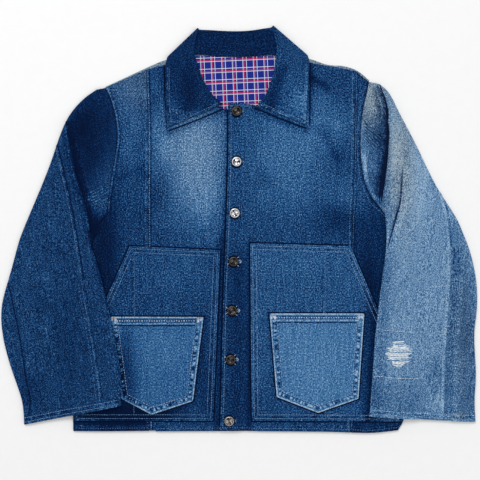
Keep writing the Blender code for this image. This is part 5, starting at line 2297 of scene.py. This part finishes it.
RIGHT_JEANS_DYE_AND_SHADE = DyeAndShade(0.47, (
    # Painted shadow of the right sleeve on the pocket's left part.
    Spot((-0.1957, -0.265), (0.0238, 0.0612), -0.32),
    Spot((-0.1923, -0.197), (0.0153, 0.034), -0.14),
    Spot((-0.126, -0.197), (0.0408, 0.0408), 0.06),
))
LEFT_JEANS_DYE = DyeAndShade(0.6, (
    Spot((0.0559, -0.2225), (0.0102, 0.0612), -0.12),
    Spot((0.129, -0.231), (0.051, 0.0578), 0.04),
))
# Each large pocket's side next to the buttons and its outer side, from foot to mouth.
LARGE_POCKETS = {
    "pocket_right": (((-0.044, -0.325), (-0.039, -0.209), (-0.032, -0.036)),
                     ((-0.28, -0.325), (-0.2665, -0.209), (-0.185, -0.029))),
    "pocket_left": (((0.022, -0.325), (0.0208, -0.226), (0.019, -0.024)),
                    ((0.2785, -0.326), (0.2735, -0.226), (0.189, -0.029))),
}
# Each jeans pocket's mouth and its foot, in order of X.
JEANS_POCKETS = {
    "jeans_pocket_right": (((-0.218, -0.1485), (-0.139, -0.149), (-0.06, -0.149)),
                           ((-0.199, -0.287), (-0.148, -0.314), (-0.078, -0.291))),
    "jeans_pocket_left": (((0.052, -0.143), (0.132, -0.143), (0.212, -0.143)),
                          ((0.064, -0.284), (0.134, -0.311), (0.202, -0.287))),
}
BUTTON_RING = np.linspace(0.0, 2 * math.pi, 25)
BUTTON_PLACES = (
    ((-0.004, 0.1995), ButtonKind.GUNMETAL), ((-0.004, 0.114), ButtonKind.SILVER),
    ((-0.007, 0.027), ButtonKind.SILVER), ((-0.009, -0.055), ButtonKind.GUNMETAL),
    ((-0.0115, -0.138), ButtonKind.GUNMETAL), ((-0.014, -0.221), ButtonKind.GUNMETAL),
    ((-0.0165, -0.325), ButtonKind.DARK_SILVER),
)


def inset_line(points: Sequence[Point], distance: float) -> np.ndarray:
    """A polyline with sharp corners, moved to its left.

    Args:
        points: Its corners.
        distance: How far it moves.

    Returns:
        The moved corners.
    """
    line = np.array(points, dtype=float)
    along = np.diff(line, axis=0)
    along /= np.linalg.norm(along, axis=1, keepdims=True)
    left = np.stack([-along[:, 1], along[:, 0]], axis=1)
    moved = [line[0] + left[0] * distance]
    for a, b, corner in zip(left, left[1:], line[1:-1]):
        moved.append(corner + (a + b) / (1 + float(a @ b)) * distance)
    moved.append(line[-1] + left[-1] * distance)
    return np.array(moved)


@dataclass
class JacketSewing:
    """Every seam and row of stitches on the jacket."""

    bench: Bench

    EYE_OFFSET = 0.0104
    EYE_RADII = (0.0014, 0.0034)
    EYE_TURNS = (-140, 160, 20)
    TAILS = ((((-0.0076, 0.003), (-0.0106, 0.0052)), 0.0034), (((0.006, 0.0062), (0.0086, 0.0082)), 0.0032))
    DARN_ROWS = 40
    DARN_PITCH = 0.00108
    DARN_TOP = -0.1895
    DARN_MIDDLE = 0.27
    DARN_REACH = (0.0245, 0.029)
    TACK_ROWS = 8
    TACK_PITCH = 0.0011
    TACK_LENGTH = 0.0105
    SHADE_STRIP_HALF = 0.003
    SHADE_STRIP_DEPTH = 0.001
    SHADE_STRIP_TONE = 0.02
    ARMPIT = ((-0.25, -0.026), (-0.2515, -0.033), (-0.2525, -0.04))
    RIGHT_POCKET_SHADE = ((-0.2675, -0.209), (-0.186, -0.0275), (-0.03, -0.0345), (-0.0375, -0.209),
                          (-0.0425, -0.3265), (-0.28, -0.3265))
    LEFT_POCKET_SHADE = ((0.275, -0.226), (0.19, -0.0275), (0.0175, -0.0225), (0.0193, -0.226),
                         (0.0205, -0.3265), (0.2785, -0.3275))
    RIGHT_INNER_SEAM = ((-0.307, 0.1425), (-0.2924, 0.0818), (-0.2819, 0.0331), (-0.2751, -0.0049),
                        (-0.2681, -0.0485), (-0.2611, -0.0916), (-0.2501, -0.1545), (-0.2382, -0.2225),
                        (-0.2297, -0.2905))
    RIGHT_OUTER_CREASE = ((-0.3912, -0.0925), (-0.381, -0.1375), (-0.3691, -0.197), (-0.3606, -0.2565),
                          (-0.3538, -0.2905), (-0.3572, -0.3177))
    RIGHT_FOLD = ((-0.2943, 0.1821), (-0.2883, 0.1515), (-0.2824, 0.1141), (-0.2696, 0.0648),
                  (-0.256, 0.0189), (-0.2492, -0.0151))
    RIGHT_DRAG_LINE = ((-0.2535, 0.041), (-0.2297, 0.0529), (-0.2195, 0.0597))
    LEFT_OUTER_SEAM = ((0.336, 0.092), (0.353, 0.026), (0.359, -0.036), (0.359, -0.08), (0.353, -0.166),
                       (0.349, -0.257), (0.348, -0.321))
    LEFT_HOLLOW = ((0.2378, 0.2467), (0.2457, 0.2229), (0.2502, 0.1991), (0.2518, 0.177), (0.2514, 0.1549),
                   (0.2501, 0.1311), (0.2484, 0.109), (0.245, 0.0784), (0.2409, 0.0444))
    LEFT_CREASE = ((0.2769, 0.1073), (0.2752, 0.0801), (0.2739, 0.0597), (0.2712, 0.0393), (0.2642, 0.0155),
                   (0.2514, -0.0321))
    LEFT_LIP = ((0.2115, 0.1311), (0.2132, 0.1073), (0.2183, 0.0767), (0.2293, 0.0546), (0.2395, 0.0444))

    def make(self) -> None:
        """Adds the sewing piece by piece."""
        self._right_front()
        self._left_front()
        self._large_pockets()
        self._jeans_pockets()
        self._armhole_shade_strips()
        self._right_sleeve()
        self._left_sleeve()
        self._collar()

    def _right_front(self) -> None:
        """The right front's seam, armhole and hem."""
        seam = curve_through(RIGHT_SEAM)
        armhole = curve_through(RIGHT_ARMHOLE)
        armhole = armhole[armhole[:, 1] > 0.029]
        hem = even([p for p in HEM if p[0] < -0.1], 60)
        centre_hem = even([(-0.1413, -0.3432), (-0.0835, -0.3429), (-0.0223, -0.3427)], 40)
        Sewing(self.bench, "front_right_side", (
            Welt(seam, 0.0046, 0.0006, (0.02, 0.06, 0.06), roping=0.1, offset=0.0028),
            Welt(armhole, 0.005, 0.0006, (-0.22, 0.04, 0.16), roping=0.1, offset=0.003),
            *hem_fold(hem, 0.06),
            shade(self.RIGHT_POCKET_SHADE, 0.0024, -0.34),
            # Painted shadow beside the right cuff.
            shade(((-0.2841, -0.3143), (-0.2365, -0.3058), (-0.1889, -0.2939)), 0.008, -0.5),
        ), (
            Stitches(seam, 0.56, offset=0.0042),
            Stitches(armhole, 0.6, offset=0.0018),
            Stitches(hem, 0.5, offset=HEM_DEPTH / 2),
            Stitches(((-0.2059, 0.2283), (-0.1855, 0.229), (-0.1574, 0.2305)), 0.5),
        )).make()
        Sewing(self.bench, "front_right_centre", (
            Welt(seam, 0.0034, 0.0004, (-0.02, 0.0, 0.1), roping=0.1, offset=-0.002),
            # Painted shadow beside the seam's fold.
            Welt(seam, 0.0018, 0.0002, (-0.2, -0.26, -0.2), roping=0.04, offset=-0.0048),
            shade(self.RIGHT_POCKET_SHADE, 0.0024, -0.34),
            # Painted shadows beside the collar's outer edge, under its lower edge and under the lapping left
            # front's edge.
            shade(((-0.1266, 0.2773), (-0.1256, 0.2229), (-0.1222, 0.1668)), 0.003, -0.34),
            shade(((-0.1217, 0.1652), (-0.0699, 0.1851), (-0.0206, 0.2058)), 0.003, -0.55),
            shade(shifted(curve_through(LEFT_EDGE), -0.001), 0.0036, -0.8),
            *hem_fold(centre_hem, 0.06),
        ), (
            Stitches(seam, 0.6, offset=-0.0022),
            Stitches(beside(centre_hem, HEM_DEPTH / 2), 0.5),
        )).make()

    def _left_front(self) -> None:
        """The left front's edge, seam, armhole and hem."""
        seam = curve_through(LEFT_SEAM)
        edge = curve_through(LEFT_EDGE)
        armhole = curve_through(LEFT_ARMHOLE)
        neck = np.array([(-0.0165, 0.2105), (0.0075, 0.2108), (0.021, 0.2085)])
        hem = np.concatenate([[(-0.029, -0.3405)], even([p for p in HEM if p[0] > 0.0], 60)])
        Sewing(self.bench, "front_left_centre", (
            Welt(edge, 0.002, 0.0005, (0.1, 0.06, 0.06), roping=0.16, offset=-0.0012),
            Welt(seam, 0.0042, 0.0005, (0.04, 0.06, 0.02), roping=0.1, offset=0.0028),
            shade(self.LEFT_POCKET_SHADE, 0.0024, -0.34),
            # Painted shadows under the collar's lower edge, beside its outer edge and round each button.
            shade(((0.0253, 0.2058), (0.0695, 0.1871), (0.1163, 0.1695)), 0.003, -0.55),
            shade(((0.1209, 0.2909), (0.1199, 0.1719)), 0.003, -0.34),
            *(shade([(x + 0.0095 * math.cos(a), y - 0.0004 + 0.0095 * math.sin(a)) for a in BUTTON_RING],
                    0.003, -0.6) for (x, y), _ in BUTTON_PLACES),
            *hem_fold(hem, 0.04),
        ), (
            Stitches(edge, 0.54, offset=-0.0046),
            Stitches(seam, 0.5, offset=0.0044),
            Stitches(hem, 0.52, offset=0.005),
            Stitches(neck, 0.5, offset=-0.002),
            *self._buttonholes(),
        )).make()
        Sewing(self.bench, "front_left_side", (
            Welt(seam, 0.004, 0.0004, (0.02, 0.0, -0.14), roping=0.08, offset=-0.0028),
            shade(self.LEFT_POCKET_SHADE, 0.0024, -0.34),
            Welt(armhole, 0.0046, 0.0005, (-0.14, 0.02, 0.05), roping=0.08, offset=-0.0034),
            *hem_fold(hem, 0.04),
        ), (
            Stitches(seam, 0.42, offset=-0.0022),
            Stitches(armhole, 0.36, offset=-0.0052),
            Stitches(hem, 0.52, offset=0.005),
        )).make()

    def _buttonholes(self) -> list[Stitches]:
        """The worked buttonholes, of which the ends show beside the buttons.

        Returns:
            The rows of thread.
        """
        rows = []
        for number, ((x, y), _) in enumerate(BUTTON_PLACES):
            pale = 0.95 if 2 < number < 6 else 0.28
            for step, turn in enumerate(range(*self.EYE_TURNS)):
                angle = math.radians(turn)
                ends = [(x + self.EYE_OFFSET + radius * math.cos(angle), y + radius * math.sin(angle))
                        for radius in self.EYE_RADII]
                rows.append(single(ends, pale * (0.5 + 0.5 * (step % 2)), 0.002, 0.0007))
            for side in (-1, 1):
                for tail, length in self.TAILS:
                    ends = [(x + dx, y + dy * side) for dx, dy in tail]
                    rows.append(single(ends, pale, length, 0.0008))
            # A dark thread across the slit: painted shade in the buttonhole's opening.
            rows.append(single(((x + 0.0085, y), (x + 0.011, y)), 0.0, 0.0024, 0.002))
            rows.append(single(((x + 0.01, y), (x + 0.0114, y)), 0.95, 0.0013, 0.0014))
        return rows

    def _large_pockets(self) -> None:
        """The double rows round the large pockets and the seam down each."""
        for name, seam, pale, around in (
            ("pocket_right", ((-0.1795, -0.038), (-0.18, -0.15), (-0.181, -0.318)), 0.52,
             ((-0.2004, -0.2878), (-0.2196, -0.147), (-0.0586, -0.1474), (-0.0766, -0.292), (-0.148, -0.3156),
              (-0.2004, -0.2878))),
            ("pocket_left", ((0.144, -0.034), (0.143, -0.15), (0.143, -0.32)), 0.62,
             ((0.0626, -0.285), (0.0504, -0.1414), (0.2136, -0.1414), (0.2034, -0.288), (0.134, -0.3126),
              (0.0626, -0.285))),
        ):
            inner, outer = LARGE_POCKETS[name]
            outline = (*outer[1:], *inner[::-1], *outer[:2])
            if name == "pocket_left":
                outline = outline[::-1]
            Sewing(self.bench, name, (
                Welt(inset_line(outline, -0.0014), 0.0024, 0.0006, (0.14, 0.12, 0.0), roping=0.1),
                Welt(inset_line(outline, -0.0078), 0.003, 0.0003, (-0.04, -0.03, 0.0), roping=0.06),
                Welt(seam, 0.0044, 0.0004, (0.04, -0.02, -0.16), roping=0.05),
                # Painted shadow round the jeans pocket.
                shade(around, 0.0024, -0.4),
            ), (
                Stitches(inset_line(outline, -0.004), pale),
                Stitches(inset_line(outline, -0.0104), pale),
                Stitches(seam, 0.34, offset=0.003),
            )).make()

    def _jeans_pockets(self) -> None:
        """The hemmed band, the double rows and the bar tacks of the jeans pockets."""
        for name, (top, foot) in JEANS_POCKETS.items():
            rounds = (top[-1], *foot[::-1], top[0])
            outline = (top[0], *rounds)
            (left, high), _, (right, _) = top
            band, fold, chain = (((left + inset, high - depth), (right - inset, high - depth))
                                 for inset, depth in ((0.003, 0.015), (0.003, 0.0118), (0.011, 0.007)))
            Sewing(self.bench, name, (
                Welt(inset_line(outline, -0.0012), 0.0026, 0.0008, (0.5, 0.46, 0.2), roping=0.1),
                # Painted shade and light on the puckers between the double rows.
                Welt(inset_line(rounds, -0.0064), 0.0058, 0.0005, roping=0.08, pucker_shading=0.42),
                Welt(inset_line(rounds, -0.0102), 0.0014, 0.0002, (-0.16, -0.24, -0.16), roping=0.1),
                Welt(chain, 0.0052, 0.0004, (-0.2, -0.26, -0.2), roping=0.16, period=0.0046),
                Welt(fold, 0.003, 0.0006, (0.16, 0.22, 0.1), roping=0.12),
                # Painted shadow under the band's folded edge.
                Welt(band, 0.0022, 0.0002, (-0.4, -0.5, -0.34), roping=0.06),
            ), (
                Stitches(inset_line(outline, -0.0034), 0.34, width=0.0007),
                Stitches(inset_line(rounds, -0.0112), 0.78, gap=0.0014, width=0.0007),
                Stitches(chain, 0.84, length=0.0024, gap=0.0018, width=0.002),
                *(Stitches(((x, y), (x + self.TACK_LENGTH, y)), 0.92, warm, 0.005, 0.0001, 0.0012)
                  for x, y, warm in self._tacks(left, right, high)),
            )).make()

    def _tacks(self, left: float, right: float, high: float) -> list[tuple[float, float, float]]:
        """The rows of the bar tacks at the ends of a pocket's mouth.

        Args:
            left: The mouth's lower X.
            right: Its higher X.
            high: Its Y.

        Returns:
            Each row's start and its turn towards tan.
        """
        rows = []
        for row in range(self.TACK_ROWS):
            for x in (left + 0.0008, right - 0.0113):
                rows.append((x, high - 0.0014 - self.TACK_PITCH * row, 0.85 if row in (1, 2) else 0.0))
        return rows

    def _armhole_shade_strips(self) -> None:
        """Dark strips just under the armholes that fill the gaps between the sleeves and the fronts with
        painted shade.
        """
        for front, line, side in (
            ("front_right_side", RIGHT_ARMHOLE, 1), ("front_left_side", LEFT_ARMHOLE, -1),
        ):
            armhole = curve_through(line)
            if side > 0:
                armhole = np.concatenate([armhole[:, :2], self.ARMPIT])
            places, _, found = self.bench.lay.drop(front, beside(armhole, self.SHADE_STRIP_HALF * side))
            heights = np.interp(np.arange(len(found)), np.flatnonzero(found), places[found, 2])
            heights = heights - self.SHADE_STRIP_DEPTH
            edges = [beside(armhole, self.SHADE_STRIP_HALF * side * share) for share in (1.0, 0.0, -1.0)]
            rows = [np.column_stack([edge[:, :2], heights]) for edge in edges]
            size = len(armhole)
            faces = [(k + 1 + size * row, k + size * row, k + size * (row + 1), k + 1 + size * (row + 1))
                     for row in range(2) for k in range(size - 1)]
            where = np.concatenate(rows)
            name = f"armhole_tape_{front.removeprefix('front_')}"
            mesh = dyed_and_shaded_mesh(name, where, faces, np.full(len(where), self.SHADE_STRIP_TONE), np.zeros(len(where)))
            link(name, mesh, self.bench.finishes.denim)

    def _right_sleeve(self) -> None:
        """The right sleeve's long seam and cuff, and the painted shade and light of its folds, creases and
        drag lines.
        """
        inner = curve_through(self.RIGHT_INNER_SEAM, 8)
        outer = curve_through(self.RIGHT_OUTER_CREASE, 8)
        cuff = np.array([(-0.362, -0.3315), (-0.318, -0.3225), (-0.27, -0.3125), (-0.202, -0.2995)])
        fold = curve_through(self.RIGHT_FOLD, 8)
        Sewing(self.bench, "sleeve_right", (
            Welt(inner, 0.0034, 0.0005, (0.02, 0.08, 0.06), roping=0.1, offset=-0.0028),
            shade(inner[:40], 0.0026, -0.2),
            shade(inner[40:], 0.0018, -0.08),
            # Painted shade in the outer crease and in two creases at the underarm, and painted light on the
            # drag lines.
            shade(outer, 0.0024, -0.22),
            shade(((-0.2263, 0.0206), (-0.2382, 0.0087), (-0.2509, -0.0032)), 0.0046, -0.5, 0.9),
            shade(((-0.2246, 0.0036), (-0.2365, -0.0049), (-0.2458, -0.0151)), 0.004, -0.45, 0.9),
            *(Welt(self.RIGHT_DRAG_LINE, 0.0024, 0.0006, (0.1, 0.2, -0.06), offset=0.0044 * k, taper=0.8)
              for k in range(-1, 5)),
            # Painted shade in the recess beside the fold, and painted light along the fold's edge.
            Welt(fold, 0.015, 0.0002, (0.0, -0.12, -0.3), roping=0.04, offset=0.0076),
            Welt(fold, 0.0044, 0.0004, (0.06, 0.09, 0.0), roping=0.06, offset=-0.0026),
            Welt(cuff, 0.003, 0.0005, (0.08, 0.1, 0.1), roping=0.1, offset=0.0018),
            Welt(cuff, 0.007, 0.0005, (0.02, -0.02, 0.02), roping=0.1, offset=0.008),
        ), (
            Stitches(inner, 0.42, offset=-0.0048),
            Stitches(inner[40:], 0.36, offset=-0.0105, gap=0.0025),
            Stitches(cuff, 0.56, offset=0.0042),
            Stitches(cuff, 0.58, offset=0.0112),
        )).make()

    def _left_sleeve(self) -> None:
        """The left sleeve's seam lines, armhole lip and cuff, the painted light and shade of its ridges,
        hollow and crease, and the patch behind its darned hole.
        """
        seam = curve_through(self.LEFT_OUTER_SEAM, 8)
        cuff = np.array([(0.2225, -0.3165), (0.28, -0.3215), (0.34, -0.3255), (0.399, -0.3275)])
        diagonal = ((0.2081, 0.1957), (0.23, 0.1668), (0.248, 0.1566))
        patch = ((0.2327, -0.1698), (0.2667, -0.1724), (0.3007, -0.1766))
        patch_foot = ((0.231, -0.248), (0.2701, -0.2523), (0.3058, -0.2531))
        ridges = [((0.2106, 0.1779 - 0.0046 * k), (0.244 - 0.003 * k, 0.1524 - 0.0044 * k)) for k in range(6)]
        lines = (self.LEFT_HOLLOW, self.LEFT_CREASE, self.LEFT_LIP)
        hollow, crease, lip = (curve_through(line, 6) for line in lines)
        Sewing(self.bench, "sleeve_left", (
            Welt(seam, 0.0044, 0.0006, (0.1, 0.14, 0.1), roping=0.1, offset=-0.003),
            Welt(seam, 0.003, 0.0003, (-0.16, -0.2, -0.14), roping=0.04, offset=0.0012),
            Welt(seam[15:], 0.018, 0.0002, (0.0, -0.08, -0.16), roping=0.04, offset=0.012),
            Welt(cuff, 0.0034, 0.0005, (0.1, 0.1, 0.1), roping=0.1, offset=0.002),
            Welt(cuff, 0.007, 0.0005, (0.04, -0.04, 0.0), roping=0.1, offset=0.008),
            Welt(diagonal, 0.0036, 0.0006, (-0.14, 0.06, 0.1), roping=0.08),
            Welt(diagonal, 0.002, 0.0003, (-0.2, -0.24, -0.2), roping=0.04, offset=-0.004),
            # Painted light on the ridges, and painted shade beside them.
            *(Welt(ridge, 0.0018, 0.0006, (0.1, 0.16, 0.06), roping=0.12) for ridge in ridges),
            *(Welt(ridge, 0.0016, 0.0002, (-0.1, -0.18, -0.1), roping=0.06, offset=0.0021)
              for ridge in ridges),
            Welt(lip, 0.0066, 0.0006, (0.16, 0.22, 0.02), roping=0.16),
            # Painted shadow in the hollow beside the fold's ridge, and painted shade and light on the two
            # sides of the crease.
            shade(hollow, 0.0068, -0.8, 0.85),
            Welt(hollow, 0.011, 0.0002, (-0.3, -0.26, 0.0), offset=-0.0046, taper=0.7),
            shade(crease, 0.0044, -0.6, 0.9),
            Welt(crease, 0.012, 0.0002, (0.1, 0.05, 0.0), roping=0.05, offset=0.0076),
        ), (
            Stitches(seam, 0.74, offset=-0.0052),
            Stitches(cuff, 0.72, offset=0.0048),
            Stitches(cuff, 0.74, offset=0.0112),
            Stitches(patch, 0.86, width=0.0008),
            Stitches(patch_foot, 0.9, width=0.001),
            Stitches(((0.3007, -0.1766), (0.305, -0.214), (0.3067, -0.2531)), 0.45, gap=0.003),
            *self._darn(),
        )).make()

    def _darn(self) -> list[Stitches]:
        """The loose white weft of the worn hole in the left forearm.

        Returns:
            The rows of thread.
        """
        chance = np.random.default_rng(7)
        rows = []
        for step in range(self.DARN_ROWS):
            y = self.DARN_TOP - self.DARN_PITCH * step
            bow = 1.0 - (abs(step - 19) / 24.0) ** 2
            left = self.DARN_MIDDLE - self.DARN_REACH[0] * bow * chance.uniform(0.55, 1.0)
            right = self.DARN_MIDDLE + self.DARN_REACH[1] * bow * chance.uniform(0.5, 1.0)
            slope = chance.normal(0.0, 0.0017)
            tone = float(np.clip(chance.normal(1.16, 0.24), 0.5, 1.3))
            bent = ((left, y), ((left + right) / 2, y + slope), (right, y + slope / 2))
            rows.append(single(bent, tone, 0.0058, 0.0013))
        return rows

    def _collar(self) -> None:
        """The rows along the collar's edges."""
        right = ((-0.1222, 0.276), (-0.1222, 0.234), (-0.119, 0.1745), (-0.082, 0.186), (-0.031, 0.211))
        left = ((0.033, 0.2105), (0.07, 0.1945), (0.1125, 0.1775), (0.1155, 0.233), (0.1175, 0.279))
        strokes = [Stitches(((-0.1175 + 0.0058 * k, 0.205 - 0.0012 * k - 0.0017 * (k % 2)),
                             (-0.1165 + 0.0058 * k, 0.1965 - 0.0012 * k)), 0.6 - 0.03 * k, length=0.004,
                            gap=0.0004) for k in range(9)]
        Sewing(self.bench, "collar_leaf", (
            Welt(inset_line(right, 0.0012), 0.0026, 0.0006, (0.1, 0.14, 0.04), roping=0.18),
            Welt(inset_line(left, 0.0012), 0.0026, 0.0006, (0.14, 0.2, 0.1), roping=0.12),
        ), (
            Stitches(inset_line(right, 0.004), 0.44),
            Stitches(inset_line(left, 0.004), 0.52),
            *strokes,
        )).make()


def main() -> None:
    """Builds the jacket in the order in which it is laid."""
    logging.basicConfig(level=logging.INFO, format="%(message)s")
    finishes = Finishes()
    bench = Bench(finishes, Lay())
    Studio(finishes).make()
    Back(bench).make()
    NeckLining(bench).make()
    Fronts(bench).make()
    Sleeve(bench, Side.RIGHT, dye_and_shade=RIGHT_SLEEVE_DYE_AND_SHADE, **RIGHT_SLEEVE).make()
    Sleeve(bench, Side.LEFT, dye_and_shade=LEFT_SLEEVE_DYE_AND_SHADE, **LEFT_SLEEVE).make()
    Collar(bench).make()
    for kind, cuts, dyes_and_shades in (
        (LargePocket, LARGE_POCKETS, (RIGHT_POCKET_DYE_AND_SHADE, LEFT_POCKET_DYE_AND_SHADE)),
        (JeansPocket, JEANS_POCKETS, (RIGHT_JEANS_DYE_AND_SHADE, LEFT_JEANS_DYE)),
    ):
        for (name, cut), surface, dye_and_shade in zip(cuts.items(), (BODY.front, BODY.left_front), dyes_and_shades):
            kind(bench, name, cut, surface, dye_and_shade).make()
    for number, (at, kind) in enumerate(BUTTON_PLACES, start=1):
        ShankButton(bench, number, at, kind).make()
    JacketSewing(bench).make()
    for piece in bpy.context.scene.objects:
        if "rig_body" in piece and "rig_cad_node" not in piece:
            piece.location = TO_CENTRE


if __name__ == "__main__":
    main()
